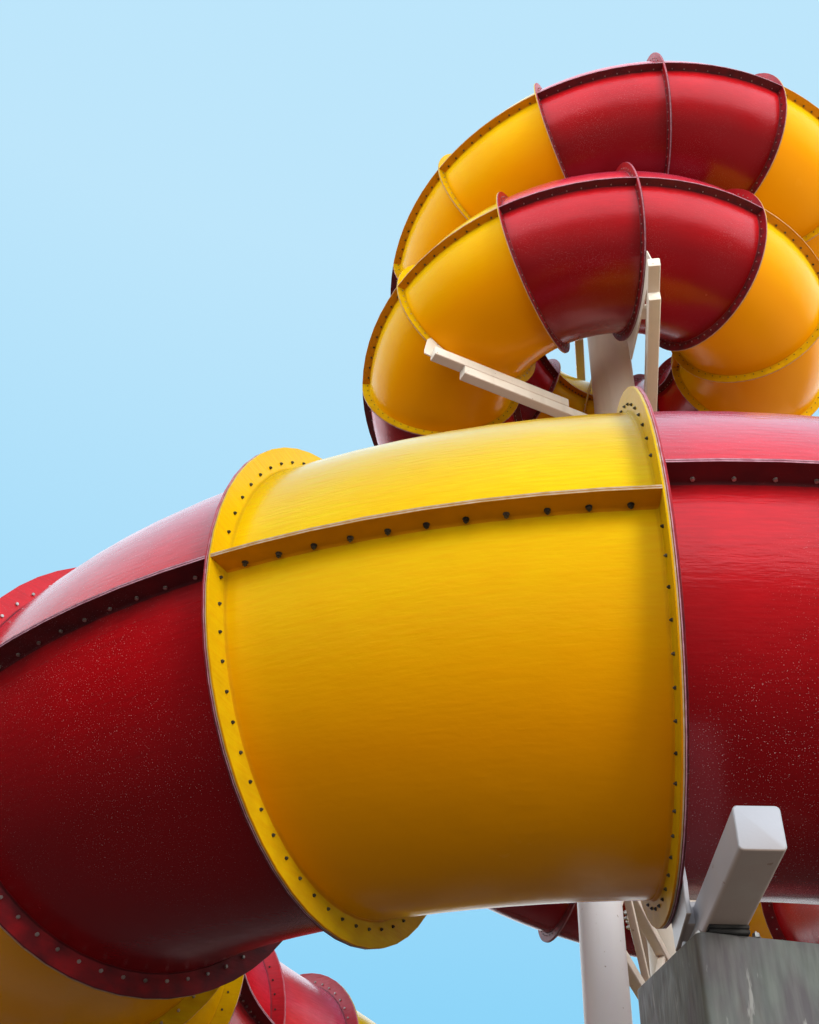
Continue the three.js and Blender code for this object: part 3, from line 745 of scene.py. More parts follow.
def ring_grime_and_shade(joint, radius, i):
    """Grime and painted shade on one corner of a section's ring: bore, seams, flange roots and
    flange faces.
    """
    if radius < TUBE_RADIUS:
        return 0.2
    if radius == TUBE_RADIUS:
        half = TUBE_SIDES // 2
        return 0.8 if i % half == 0 else 0.12 if i % half in (1, half - 1) else 0.0
    if radius < ROOT_RADIUS:
        return 0.9
    # Painted shade: the lower half of a flange face darkens, and the mast's turns darken more.
    low = min(1, max(0, 0.4 - math.sin(2 * math.pi * i / TUBE_SIDES)))
    return mix(0.30 if joint >= MAST_JOINTS else 0.60, 0.95, low)


def shell(lay, joint, roll):
    """One moulded section: skin with both ring flanges, and its bore."""
    rings = [(joint, JOINT_HALF, BORE_RADIUS)]
    rings += [(joint, shift, radius) for shift, radius in FLANGE_PROFILE]
    rings += [(place, 0, TUBE_RADIUS) for place in steps_between(joint)]
    rings += [(joint + 1, -shift, radius) for shift, radius in reversed(FLANGE_PROFILE)]
    rings.append((joint + 1, -JOINT_HALF, BORE_RADIUS))
    rings += [(place, 0, BORE_RADIUS) for place in reversed(steps_between(joint))]
    starts = []
    for place, shift, radius in rings:
        darkening = [ring_grime_and_shade(joint, radius, i) for i in range(TUBE_SIDES)]
        starts.append(lay.ring(place, shift, circle(radius, TUBE_SIDES), roll, darkening))
    for i, start in enumerate(starts):
        following = (i + 1) % len(starts)
        a, b = start, starts[following]
        pair = (rings[i], rings[following])
        rim = all(r == FLANGE_RADIUS and abs(shift) <= RIM_EDGE for _, shift, r in pair)
        for k in range(TUBE_SIDES):
            m = (k + 1) % TUBE_SIDES
            lay.face((a + k, a + m, b + m, b + k), rim)


def long_flanges(lay, joint, roll):
    """Both long flanges of a section, each in two plates with the joint between them."""
    ends = [(joint, LONG_END)]
    ends += [(place, 0) for place in steps_between(joint)]
    ends += [(joint + 1, -LONG_END)]
    count = len(LONG_PROFILE)
    for side, level in ((1, 1), (1, -1), (-1, 1), (-1, -1)):
        corners = [(a * side, b * level) for a, b in LONG_PROFILE]
        if side * level > 0:
            corners = corners[::-1]
        # Grime and painted shade under a long flange and along its root.
        darkening = [0.9 if level < 0 or abs(a) < LONG_ROOT else 0.0 for a, _ in corners]
        starts = [lay.ring(p, s, corners, roll, darkening) for p, s in ends]
        outer = [abs(abs(a) - FLANGE_RADIUS) < 0.0002 for a, _ in corners]
        for a, b in zip(starts, starts[1:]):
            for i in range(count):
                j = (i + 1) % count
                lay.face((b + i, b + j, a + j, a + i), outer[i] and outer[j])
        lay.face(range(starts[0], starts[0] + count))
        lay.face(range(starts[-1], starts[-1] + count)[::-1])


for name, first, last, colour, roll in flumes:
    lay = Lay()
    for joint in range(first, last):
        shell(lay, joint, roll)
        long_flanges(lay, joint, roll)
    tube = new_piece(name + "_shells", lay.points, lay.faces)
    store(tube, "shift", lay.shifts)
    store(tube, "grime", lay.grime)
    add_tree(tube, bending_tree, {"Flume line": flume_line})
    settle(tube)
    for extra in ("shift", "world_aim"):
        tube.data.attributes.remove(tube.data.attributes[extra])
    tube.data.materials.append(GELCOAT[colour])
    tube.data.materials.append(EDGE[colour])
    tube.data.polygons.foreach_set("material_index", [int(rim) for rim in lay.rims])
    smooth_shade(tube.data, TUBE_SMOOTHING)
    hand_over(tube, name)


# Flange bolts: zinc-coated bolts at a hand's pitch round every ring joint and down both
# long flanges. Dark nuts with washers sit on one side, plain washered heads on the other.
LONG_BOLT_REACH = 0.726
LONG_END_CLEARANCE = 0.062
LONG_PITCH = 0.083
RING_BOLTS = 58
SEAM_CLEARANCE = 1.4
SEAT_ARC = 38
NEAR_SEAT_ARC = 10
SEAT_PLATE = 0.012
SEAT_GAP = 0.0004
OVER, UNDER = 1, -1
# Ring joints that carry a seat plate, by the arm or frame that it belongs to.
OVER_ARMS = {"top_right": 1, "top_front": 5, "top_left": 8, "top_back": 11}
UNDER_ARMS = {"middle_right": 14, "middle_front": 17, "middle_left": 19}
UNDER_ARMS |= {"lower_back_left": 22, "lower_right": 25, "lower_front": 28}
UNDER_ARMS |= {"lower_left": 31, "lower_back_right": 34, "link": 36}
NEAR_ARMS = {"bend_right": 40, "bend_front": 42, "bend_left": 45, "bend_end": 48}
RUNOUT_FRAMES = {"runout_frame_1": 49, "runout_frame_2": 50, "runout_frame_3": 51}
FASTENER_SIZES = ("Across flats", "Nut height", "Washer radius", "Washer thickness")
FASTENER_SIZES += ("Stud radius", "Stud length")
LONG_NUT = (0.013, 0.0075, 0.0095, 0.0014, 0.003, 0.005)
RING_NUT = (0.0085, 0.0035, 0.0050, 0.0014, 0.0025, 0.003)
BOLT_HEAD = (0.010, 0.0050, 0.0062, 0.0014, 0.003, 0.0004)
# First and last ring joint of each group of flange bolts.
BOLT_GROUPS = {"top": (0, 8), "back": (8, 14), "middle": (14, 20), "lower": (20, 28)}
BOLT_GROUPS |= {"steep": (28, 36), "link": (36, 42), "bend": (42, 48), "runout": (48, 52)}


# Geometry Nodes tree that sets one washered fastener on each point, turned to its aim.
def make_fastener_tree():
    sockets = {"Geometry": "Geometry", **dict.fromkeys(FASTENER_SIZES, "Float")}
    sockets |= {"Seed": "Int", "Finish": "Material"}
    nodes, given = open_group("GeometryNodeTree", "fastener_rows", sockets)

    def disc(sides, radius, height, base):
        inputs = {"Vertices": sides, "Radius": radius, "Depth": height}
        made = nodes.add("GeometryNodeMeshCylinder", inputs).outputs["Mesh"]
        level = nodes.times(height, 0.5)
        if base:
            level = nodes.plus(level, base)
        raised = nodes.add("ShaderNodeCombineXYZ", {"Z": level}).outputs["Vector"]
        inputs = {"Geometry": made, "Translation": raised}
        return nodes.add("GeometryNodeTransform", inputs).outputs["Geometry"]

    washer_top = given["Washer thickness"]
    nut_top = nodes.plus(washer_top, given["Nut height"])
    nut_radius = nodes.times(given["Across flats"], 0.57735)
    joined = nodes.add("GeometryNodeJoinGeometry")
    for part in (
        disc(8, given["Washer radius"], given["Washer thickness"], None),
        disc(6, nut_radius, given["Nut height"], washer_top),
        disc(6, given["Stud radius"], given["Stud length"], nut_top),
    ):
        nodes.give(joined.inputs["Geometry"], part)

    aim = attribute_of(nodes, "world_aim", "FLOAT_VECTOR")
    aimed = nodes.add("FunctionNodeAlignRotationToVector", {"Vector": aim}, axis="Z")
    inputs = {3: math.radians(60), "Seed": given["Seed"]}
    chance = nodes.add("FunctionNodeRandomValue", inputs, data_type="FLOAT").outputs[1]
    inputs = {"Axis": (0, 0, 1), "Angle": chance}
    spin = nodes.add("FunctionNodeAxisAngleToRotation", inputs).outputs["Rotation"]
    inputs = {"Rotation": aimed.outputs["Rotation"], "Rotate By": spin}
    turned = nodes.add("FunctionNodeRotateRotation", inputs, rotation_space="LOCAL")

    placed = nodes.add(
        "GeometryNodeInstanceOnPoints",
        {
            "Points": given["Geometry"],
            "Instance": joined.outputs["Geometry"],
            "Rotation": turned.outputs["Rotation"],
        },
    ).outputs["Instances"]
    real = nodes.add("GeometryNodeRealizeInstances", {"Geometry": placed}).outputs["Geometry"]
    inputs = {"Geometry": real, "Material": given["Finish"]}
    finished = nodes.add("GeometryNodeSetMaterial", inputs).outputs["Geometry"]
    nodes.close("Geometry", {"Geometry": finished})
    return nodes.tree


fastener_tree = make_fastener_tree()


def bare_metal(name, light, dark, metallic, rough):
    finish, nodes = new_finish(name)
    stain = nodes.noise(28, 4)
    base = nodes.blended(nodes.between(stain, 0.35, 0.65), light, dark)
    dullness = nodes.between(stain, 0.3, 0.7, rough - 0.1, rough + 0.1)
    nodes.surface(Base_Color=base, Roughness=dullness, Metallic=metallic)
    nodes.bump(nodes.noise(240, 2), 0.3, 0.0004)
    return finish


# Nuts have a dark zinc finish, heads a pale one.
NUT_FINISH = bare_metal("weathered_zinc", (0.13, 0.12, 0.10), (0.04, 0.035, 0.03), 0.6, 0.6)
HEAD_FINISH = bare_metal("bright_zinc", (0.62, 0.60, 0.57), (0.30, 0.27, 0.24), 0.8, 0.45)


def section_of(joint, downstream):
    """Colour and roll of the section that meets a joint on one side."""
    for _, first, last, colour, roll in flumes:
        if (first <= joint < last) if downstream else (first < joint <= last):
            return colour, roll


def seat_at(joint, angle):
    """Whether a seat plate lies under a bolt on the upstream face of a ring joint."""
    under = [*UNDER_ARMS.values(), *NEAR_ARMS.values(), *RUNOUT_FRAMES.values()]
    side = OVER if joint in OVER_ARMS.values() else UNDER if joint in under else 0
    spread = NEAR_SEAT_ARC if joint in NEAR_ARMS.values() else SEAT_ARC
    return bool(side) and abs((angle - 90 * side + 180) % 360 - 180) < spread


def ring_fasteners(joint):
    """Nuts and heads round a ring joint, each as point, shift and aim."""
    above, below = section_of(joint, False), section_of(joint, True)
    nuts_below = below[0] == "yellow"
    nuts, heads = [], []
    mean_roll = (above[1] + below[1]) / 2
    for k in range(RING_BOLTS):
        angle = (k + 0.5) * 360 / RING_BOLTS + mean_roll
        near = min(abs((angle - roll + 90) % 180 - 90) for _, roll in (above, below))
        if near < SEAM_CLEARANCE:
            continue
        a = math.radians(angle)
        across, upward = RING_BOLT_RADIUS * math.cos(a), RING_BOLT_RADIUS * math.sin(a)
        point = (length_at(joint), across, upward)
        under_seat = SEAT_PLATE + SEAT_GAP if seat_at(joint, angle) else 0
        up_side = (point, -FLANGE_THICKNESS - under_seat, (-1, 0, 0))
        down_side = (point, FLANGE_THICKNESS, (1, 0, 0))
        nuts.append(down_side if nuts_below else up_side)
        heads.append(up_side if nuts_below else down_side)
    return nuts, heads


def long_fasteners(joint):
    """Nuts under and heads over both long flanges; heads on both sides of red ones."""
    colour, roll = section_of(joint, True)
    start = length_at(joint) + LONG_END_CLEARANCE
    end = length_at(joint + 1) - LONG_END_CLEARANCE
    count = round((end - start) / LONG_PITCH)
    nuts, heads = [], []
    under = heads if colour == "red" else nuts
    for side in (1, -1):
        for k in range(count + 1):
            length = mix(start, end, k / count)
            for level, row in ((-1, under), (1, heads)):
                place = rolled(side * LONG_BOLT_REACH, level * LONG_THICKNESS, roll)
                row.append(((length, *place), 0, (0, *rolled(0, level, roll))))
    return nuts, heads


def set_fasteners(piece, finish, seed, sizes):
    """Puts a washered fastener on each point of a piece, and hands it over."""
    add_tree(piece, fastener_tree, dict(zip(FASTENER_SIZES, sizes), Seed=seed, Finish=finish))
    settle(piece)
    hand_over(piece)


for seed, (part, (first, last)) in enumerate(BOLT_GROUPS.items()):
    long_nuts, ring_nuts, heads = [], [], []
    for joint in range(first, last):
        rows = [(long_nuts, long_fasteners(joint))]
        if joint > 0:
            rows.append((ring_nuts, ring_fasteners(joint)))
        for nuts, (more_nuts, more_heads) in rows:
            nuts += more_nuts
            heads += more_heads
    for kind, rows, finish, first_seed, sizes in (
        ("long_flange_nuts_", long_nuts, NUT_FINISH, 0, LONG_NUT),
        ("ring_flange_nuts_", ring_nuts, NUT_FINISH, 40, RING_NUT),
        ("flange_bolt_heads_", heads, HEAD_FINISH, 20, BOLT_HEAD),
    ):
        points, shifts, aims = zip(*rows)
        bolts = new_piece(kind + part, points)
        store(bolts, "shift", shifts)
        store(bolts, "aim", aims)
        add_tree(bolts, bending_tree, {"Flume line": flume_line})
        set_fasteners(bolts, finish, first_seed + seed, sizes)


# Mast arms: a short square tube carries each seat plate and a longer one passes the mast,
# to which it is bolted through a welded pad. The tubes are welded one on the other, capped
# at their outer ends and painted cream.
FLANGE_CLEARANCE = 0.012
SEAT_LEVEL = FLANGE_RADIUS + FLANGE_CLEARANCE
SEAT_FACE = 0.01045
SEAT_ARC_STEPS = 24
WEB_HALF = 0.060
WEB_LEVELS = (SEAT_LEVEL - 0.008, SEAT_LEVEL + 0.050)
WEB_PLACES = (-0.070, -SEAT_FACE - 0.004)
BEAM = 0.100
BEAM_WALL = 0.007
BEAM_CORNER = 0.011
BEAM_HALF = (-BEAM / 2, BEAM / 2)
SHORT_TUBE = 0.900
MAST_PAD_FACE = 0.222
MAST_PAD_LENGTH = 0.260
MAST_PAD_DEPTH = 0.070
CLAMP_BOLT = (0.030, 0.013, 0.020, 0.004, 0.010, 0.010)
CLAMP_BOLT_PLACES = (-0.085, 0.085)
CLAMP_BOLT_INSET = 0.030
# Bolted parts lie a hair apart, and a fastener stands just off the face below it.
GAP = 0.0003
PROUD = 0.0002
ARM_OFFSET = 0.110
ARM_SIDE = MAST_PAD_FACE + GAP + BEAM / 2
EDGE_WEAR = 0.0022
STEEL_SMOOTHING = 30
# A seat plate's half width, and how far its arm's short and long tubes pass the seat.
OVER_REACHES = (0.330, 0.400, 0.100)
UNDER_REACHES = (0.520, 0.500, 0.220)
OTHER_REACHES = {"middle_front": (0.520, 0.550, 0.280), "middle_left": (0.520, 0.460, 0.170)}


def rounded(y, z, corner, inset, steps=4):
    """Corners of a rounded square between y and z limits, drawn in by an inset."""
    radius = max(0.0015, corner - inset)
    y0, y1, z0, z1 = y[0] + inset, y[1] - inset, z[0] + inset, z[1] - inset
    made = []
    for cy, cz, first in (
        (y1 - radius, z1 - radius, 0),
        (y0 + radius, z1 - radius, 90),
        (y0 + radius, z0 + radius, 180),
        (y1 - radius, z0 + radius, 270),
    ):
        for k in range(steps + 1):
            a = math.radians(first + 90 * k / steps)
            made.append((cy + radius * math.cos(a), cz + radius * math.sin(a)))
    return made


class Steel:
    """Closed solids gathered into one piece, with rounded or chamfered edges."""

    def __init__(self):
        self.points, self.faces = [], []

    def loop(self, frame, corners):
        start = len(self.points)
        self.points += [frame @ Vector(corner) for corner in corners]
        return list(range(start, start + len(corners)))

    def skin(self, loops):
        """Joins loops of equal length into a closed solid; the first is seen from behind."""
        for a, b in zip(loops, loops[1:]):
            for i in range(len(a)):
                j = (i + 1) % len(a)
                self.faces.append((a[i], a[j], b[j], b[i]))
        self.faces += [loops[0][::-1], loops[-1]]

    def drawn(self, frame, y, z, corner, places):
        """Rounded square drawn along X through places that each have an inset."""
        self.skin(
            [
                self.loop(frame, [(x, a, b) for a, b in rounded(y, z, corner, inset)])
                for x, inset in places
            ]
        )

    def tube(self, frame, start, end, y, z, corner=BEAM_CORNER, wall=BEAM_WALL):
        """Square tube along X, open at its start and capped at its end."""
        places = [(end - wall, wall), (start, wall), (start, 0.0)]
        places += [(end - 0.003, 0.0), (end - 0.0008, 0.0008), (end, 0.003)]
        self.drawn(frame, y, z, corner, places)

    def bar(self, frame, start, end, y, z, corner=0.008):
        """Square bar along X, closed and slightly rounded at both ends."""
        places = [(start, 0.002), (start + 0.002, 0), (end - 0.002, 0), (end, 0.002)]
        self.drawn(frame, y, z, corner, places)

    def plate(self, frame, outline, low, high):
        """Plate cut to an outline, counted anticlockwise in the frame's X and Y."""
        self.skin([self.loop(frame, [(a, b, z) for a, b in outline]) for z in (low, high)])

    def block(self, frame, low, high):
        """Plate or block between its lowest and highest corners."""
        (x0, y0, z0), (x1, y1, z1) = low, high
        self.plate(frame, [(x0, y0), (x1, y0), (x1, y1), (x0, y1)], z0, z1)

    def finish(self, name, paint, slot, cad_node, bevel=EDGE_WEAR):
        """Makes the piece, with worn edges, and hands it over for its CAD node."""
        made = new_piece(name, self.points, self.faces)
        made.data.materials.append(paint)
        if bevel:
            edge = made.modifiers.new("worn_edges", "BEVEL")
            edge.width = bevel
            edge.segments = 1
            edge.limit_method = "ANGLE"
            edge.angle_limit = math.radians(50)
        settle(made)
        smooth_shade(made.data, STEEL_SMOOTHING)
        hand_over(made, cad_node)


def painted_steel(name, clean, dull, darkening, under, rough):
    """Sprayed paint on steel: a little chalky, with painted shade below, faint runs and chips.
    """
    finish, nodes = new_finish(name)
    weather = nodes.group(weather_group)
    base = nodes.blended(nodes.between(weather["Mottle"], 0.3, 0.7), clean, dull)
    # Painted shade: faces turned down take the under colour.
    base = nodes.blended(weather["Shade"], base, under)
    base = nodes.blended(nodes.times(weather["Runs"], 0.35), base, darkening)
    chips = nodes.between(nodes.noise(34, 5), 0.70, 0.73)
    base = nodes.blended(nodes.times(chips, 0.6), base, (0.2, 0.1, 0.06))
    dullness = nodes.between(weather["Mottle"], 0.2, 0.8, rough - 0.08, rough + 0.08)
    nodes.surface(Base_Color=base, Roughness=dullness)
    nodes.bump(nodes.plus(nodes.noise(150, 2), nodes.times(chips, -1.5)), 0.35, 0.0005)
    return finish


# Cream paint; its under colour paints shade below.
CREAM_PAINT = painted_steel(
    "cream_paint",
    clean=(0.86, 0.82, 0.74),
    dull=(0.79, 0.74, 0.65),
    darkening=(0.45, 0.38, 0.30),
    under=(0.58, 0.46, 0.38),
    rough=0.42,
)


def upstream_of(along):
    return Vector((-along.x, -along.y, 0)).normalized()


def arm_line(joint, side):
    """Level line of an arm, from beside the mast to beside its ring flange."""
    centre, along, _, up_axis = station_at(joint)
    level = centre.z + side * SEAT_LEVEL * up_axis.z
    upstream = upstream_of(along)
    seat = centre + up_axis * side * SEAT_LEVEL + upstream * ARM_OFFSET
    seat.z = level
    hub = Vector((0, 0, level)) + upstream * ARM_SIDE
    for _ in range(4):
        across = UP.cross((seat - hub).normalized())
        if across.dot(upstream) < 0:
            across.negate()
        hub = Vector((0, 0, level)) + across * ARM_SIDE
    out = seat - hub
    reach = out.length
    out.normalize()
    across = UP.cross(out)
    pad_side = -1 if across.dot(upstream) > 0 else 1
    return frame_of(hub, out, across, UP), reach, pad_side


def seat_outline(side, reach, depth, spread):
    """Half-moon plate that cups the tube below or above its ring flange."""
    arc = []
    radius = TUBE_RADIUS + FLANGE_CLEARANCE
    for i in range(SEAT_ARC_STEPS + 1):
        turn = mix(spread, -spread, i / SEAT_ARC_STEPS)
        angle = math.radians(side * 90 + side * turn)
        arc.append((radius * math.cos(angle), radius * math.sin(angle)))
    tip = FLANGE_RADIUS * math.sin(math.radians(spread))
    tip_level = side * FLANGE_RADIUS * math.cos(math.radians(spread))
    outline = arc + [
        (tip, tip_level),
        (reach, side * SEAT_LEVEL),
        (reach, side * (SEAT_LEVEL + depth)),
        (-reach, side * (SEAT_LEVEL + depth)),
        (-reach, side * SEAT_LEVEL),
        (-tip, tip_level),
    ]
    return outline if side < 0 else outline[::-1]


def add_seat(steel, joint, side, reach, spread=SEAT_ARC):
    """Seat plate bolted to the upstream face of a ring flange."""
    centre, along, out, up = station_at(joint)
    outline = seat_outline(side, reach, BEAM / 2, spread)
    steel.plate(frame_of(centre, out, up, along), outline, -SEAT_FACE - SEAT_PLATE, -SEAT_FACE)


def add_web(steel, joint, side):
    """Block that joins a seat plate to the tube beside it."""
    centre, along, out, up = station_at(joint)
    low, high = sorted(side * level for level in WEB_LEVELS)
    corners = (-WEB_HALF, low, WEB_PLACES[0]), (WEB_HALF, high, WEB_PLACES[1])
    steel.block(frame_of(centre, out, up, along), *corners)


def set_bolts(name, rows, seed, sizes):
    """Bolts at places in the tower's own frame, from rows of point and aim."""
    points, aims = zip(*rows)
    bolts = new_piece(name, points)
    store(bolts, "world_aim", aims)
    set_fasteners(bolts, HEAD_FINISH, seed, sizes)


def bolt_on(frame, place, way):
    """A bolt's point and aim in the tower's own frame, from those in another frame."""
    return frame @ Vector(place), (frame.to_3x3() @ Vector(way)).normalized()


mast_pads = []
clamp_bolts = []
mast_arms = [(name, joint, OVER, OVER_REACHES) for name, joint in OVER_ARMS.items()]
mast_arms += [
    (name, joint, UNDER, OTHER_REACHES.get(name, UNDER_REACHES))
    for name, joint in UNDER_ARMS.items()
]
for name, joint, side, (seat_reach, short_end, long_end) in mast_arms:
    arm_frame, reach, pad_side = arm_line(joint, side)
    near = sorted((0, side * BEAM))
    far = sorted((side * (BEAM - 0.001), side * (2 * BEAM - 0.001)))
    steel = Steel()
    steel.tube(arm_frame, reach - SHORT_TUBE, reach + short_end, BEAM_HALF, near)
    steel.tube(arm_frame, -MAST_PAD_LENGTH / 2, reach + long_end, BEAM_HALF, far)
    add_seat(steel, joint, side, seat_reach)
    add_web(steel, joint, side)
    steel.finish(f"arm_{name}_steel", CREAM_PAINT, "cream_paint", "arm_" + name)

    pad = sorted(pad_side * (BEAM / 2 + GAP + depth) for depth in (0, MAST_PAD_DEPTH))
    mast_pads.append((arm_frame, pad, far))
    outer = -pad_side * (BEAM / 2 + PROUD)
    for x in CLAMP_BOLT_PLACES:
        for z in (far[0] + CLAMP_BOLT_INSET, far[1] - CLAMP_BOLT_INSET):
            clamp_bolts.append(bolt_on(arm_frame, (x, outer, z), (0, -pad_side, 0)))

set_bolts("mast_clamp_bolts", clamp_bolts, 50, CLAMP_BOLT)


# Mast: one round steel tube on a stiffened base plate, with a flat pad welded on for each
# arm and for the tie truss. A cap plate closes its top, and a slot near the foot drains it.
GROUND = Matrix.Identity(4)
MAST_PLACE = (0, 0)
MAST_RADIUS = 0.210
MAST_WALL = 0.012
MAST_SIDES = 64
MAST_TOP = 12.980
MAST_LEVELS = (0.010, 0.080, 0.200, MAST_TOP)
CAP_LEVELS = (MAST_TOP - 0.005, MAST_TOP + 0.015)
CAP_OVERHANG = 0.025
PAD_MARGIN = 0.010
BASE_SIZE = 0.820
BASE_THICKNESS = 0.032
MAST_ANCHOR = (0.046, 0.024, 0.032, 0.005, 0.015, 0.030)
SLOT_FACETS = 4
DISC_EDGE = 0.003
FIN_HALF = 0.008
NEAR_COLUMN = Vector((-1.000, -2.518, 0))
TRUSS_TOP = 4.050
TRUSS_BOTTOM = 3.560
TRUSS_MARGIN = 0.050
TRUSS_PAD_HALF = 0.090
TRUSS_PAD_ROOT = 0.120


def round_tube(steel, centre, radius, wall, sides, levels):
    """Round tube with flat ends, and a slot in its far side between the middle levels."""
    outer, inner = [
        [
            steel.loop(GROUND, [(*corner, z) for corner in circle(size, sides, centre, turn)])
            for z in levels
        ]
        for size, turn in ((radius, math.pi / sides), (radius - wall, math.pi / sides))
    ]
    first = sides // 4 - 1 - SLOT_FACETS // 2
    cut = range(first, first + SLOT_FACETS)
    for row in range(3):
        for i in range(sides):
            if row == 1 and i in cut:
                continue
            j = (i + 1) % sides
            for low, high, a, b in (
                (outer[row], outer[row + 1], i, j),
                (inner[row], inner[row + 1], j, i),
            ):
                steel.faces.append((low[a], low[b], high[b], high[a]))

    def rim(row, i, j):
        steel.faces.append((outer[row][i], outer[row][j], inner[row][j], inner[row][i]))

    for low_row, high_row, facets in ((0, 3, range(sides)), (2, 1, cut)):
        for i in facets:
            j = (i + 1) % sides
            rim(high_row, i, j)
            rim(low_row, j, i)
    for i, a, b in ((cut[0], outer, inner), (cut[-1] + 1, inner, outer)):
        steel.faces.append((a[1][i], b[1][i], b[2][i], a[2][i]))


def round_disc(steel, centre, radius, low, high, sides):
    """Round plate with a rounded rim."""
    rims = [(low, DISC_EDGE), (low + DISC_EDGE, 0), (high - DISC_EDGE, 0), (high, DISC_EDGE)]
    loops = []
    for z, inset in rims:
        corners = [(*corner, z) for corner in circle(radius - inset, sides, centre)]
        loops.append(steel.loop(GROUND, corners))
    steel.skin(loops)


def add_foot(steel, centre, radius, size, thickness, fins, height):
    """Base plate with upright stiffeners round the foot of a column."""
    half = size / 2
    x, y = centre
    steel.block(GROUND, (x - half, y - half, 0), (x + half, y + half, thickness))
    outline = [
        (radius - 0.006, thickness - 0.002),
        (half - 0.025, thickness - 0.002),
        (half - 0.025, thickness + 0.020),
        (radius + 0.015, height),
        (radius - 0.006, height),
    ]
    for i in range(fins):
        angle = (i + 0.5) * 2 * math.pi / fins
        out = Vector((math.cos(angle), math.sin(angle), 0))
        fin_frame = frame_of(Vector((x, y, 0)), out, UP, out.cross(UP))
        steel.plate(fin_frame, outline, -FIN_HALF, FIN_HALF)


def anchor_bolts(centre, size, thickness, per_side):
    """Anchor bolts along the edges of a base plate, each as point and aim."""
    half = size / 2 - 0.055
    x, y = centre
    rows = []
    for k in range(per_side):
        t = mix(-half, half, k / (per_side - 1))
        for a, b in ((t, -half), (t, half), (-half, t), (half, t)):
            spot = Vector((round(x + a, 5), round(y + b, 5), thickness + PROUD))
            if (spot, UP) not in rows:
                rows.append((spot, UP))
    return rows


steel = Steel()
round_tube(steel, MAST_PLACE, MAST_RADIUS, MAST_WALL, MAST_SIDES, MAST_LEVELS)
steel.finish("mast_tube", CREAM_PAINT, "cream_paint", "mast", bevel=0)

truss_span = NEAR_COLUMN.length
truss_way = -NEAR_COLUMN.normalized()
truss_frame = frame_of(NEAR_COLUMN, truss_way, UP.cross(truss_way), UP)
truss_low, truss_high = TRUSS_BOTTOM - TRUSS_MARGIN, TRUSS_TOP + TRUSS_MARGIN

steel = Steel()
round_disc(steel, MAST_PLACE, MAST_RADIUS + CAP_OVERHANG, *CAP_LEVELS, MAST_SIDES)
add_foot(steel, MAST_PLACE, MAST_RADIUS, BASE_SIZE, BASE_THICKNESS, fins=8, height=0.300)
reach = MAST_PAD_LENGTH / 2
for arm_frame, pad, far in mast_pads:
    low, high = (-reach, pad[0], far[0] - PAD_MARGIN), (reach, pad[1], far[1] + PAD_MARGIN)
    steel.block(arm_frame, low, high)
steel.block(
    truss_frame,
    (truss_span - MAST_PAD_FACE, -TRUSS_PAD_HALF, truss_low - PAD_MARGIN),
    (truss_span - TRUSS_PAD_ROOT, TRUSS_PAD_HALF, truss_high + PAD_MARGIN),
)
steel.finish("mast_fittings", CREAM_PAINT, "cream_paint", "mast")
mast_anchors = anchor_bolts(MAST_PLACE, BASE_SIZE, BASE_THICKNESS, 4)
set_bolts("mast_anchor_bolts", mast_anchors, 51, MAST_ANCHOR)


# Near column: a slim white round column inside the near bend, with a bolted stub for each
# of the bend's four arms. The front arm ends over the grey post.
COLUMN_PLACE = (NEAR_COLUMN.x, NEAR_COLUMN.y)
COLUMN_RADIUS = 0.105
COLUMN_WALL = 0.008
COLUMN_SIDES = 48
COLUMN_TOP = 4.220
COLUMN_LEVELS = (0.010, 0.060, 0.130, COLUMN_TOP - 0.002)
COLUMN_BASE = 0.460
COLUMN_PLATE = 0.025
COLUMN_STUB = 0.270
COLUMN_PAD_FACE = COLUMN_RADIUS + 0.014
COLUMN_PAD_HALF = 0.070
# How far out of the column's axis its stubs and its pad begin, inside its wall.
COLUMN_ROOT = 0.060
NEAR_WALL = 0.006
NEAR_OFFSET = 0.088
NEAR_REACHES = {"bend_front": 0.610}
NEAR_REACH = 0.450
NEAR_SEAT_REACH = 0.130
SPLICE = 0.012
SPLICE_HALF = 0.095
SPLICE_BOLT_PLACES = (-0.074, 0.074)
SPLICE_BOLT = (0.024, 0.012, 0.017, 0.003, 0.008, 0.008)
COLUMN_ANCHOR = (0.036, 0.019, 0.026, 0.004, 0.012, 0.025)
# The column's white paint; its under colour paints shade below.
COLUMN_PAINT = painted_steel(
    "column_paint",
    clean=(0.90, 0.92, 0.97),
    dull=(0.85, 0.86, 0.90),
    darkening=(0.50, 0.45, 0.41),
    under=(0.60, 0.52, 0.48),
    rough=0.36,
)
# The arms' white: a darker, bluer copy of the column's white paint that paints shade on the
# arms; its under colour paints more shade below.
ARM_WHITE_WITH_PAINTED_SHADE = painted_steel(
    "white_paint",
    clean=(0.48, 0.51, 0.59),
    dull=(0.43, 0.45, 0.51),
    darkening=(0.45, 0.41, 0.37),
    under=(0.38, 0.29, 0.25),
    rough=0.36,
)


def near_arm_line(joint):
    """Level line of an arm from the near column's axis, and its level."""
    centre, along, _, up = station_at(joint)
    level = centre.z - SEAT_LEVEL * up.z
    seat = centre - up * SEAT_LEVEL + upstream_of(along) * NEAR_OFFSET
    seat.z = level
    hub = Vector((*COLUMN_PLACE, level))
    out = seat - hub
    reach = out.length
    out.normalize()
    return frame_of(hub, out, UP.cross(out), UP), reach, level


def near_tube(steel, frame, start, end, plate_start):
    """Square tube of a near arm or its stub, with the splice plate at its joint."""
    steel.tube(frame, start, end, BEAM_HALF, (-BEAM, 0), wall=NEAR_WALL)
    low = (plate_start, -SPLICE_HALF, -BEAM / 2 - SPLICE_HALF)
    high = (plate_start + SPLICE, SPLICE_HALF, -BEAM / 2 + SPLICE_HALF)
    steel.block(frame, low, high)


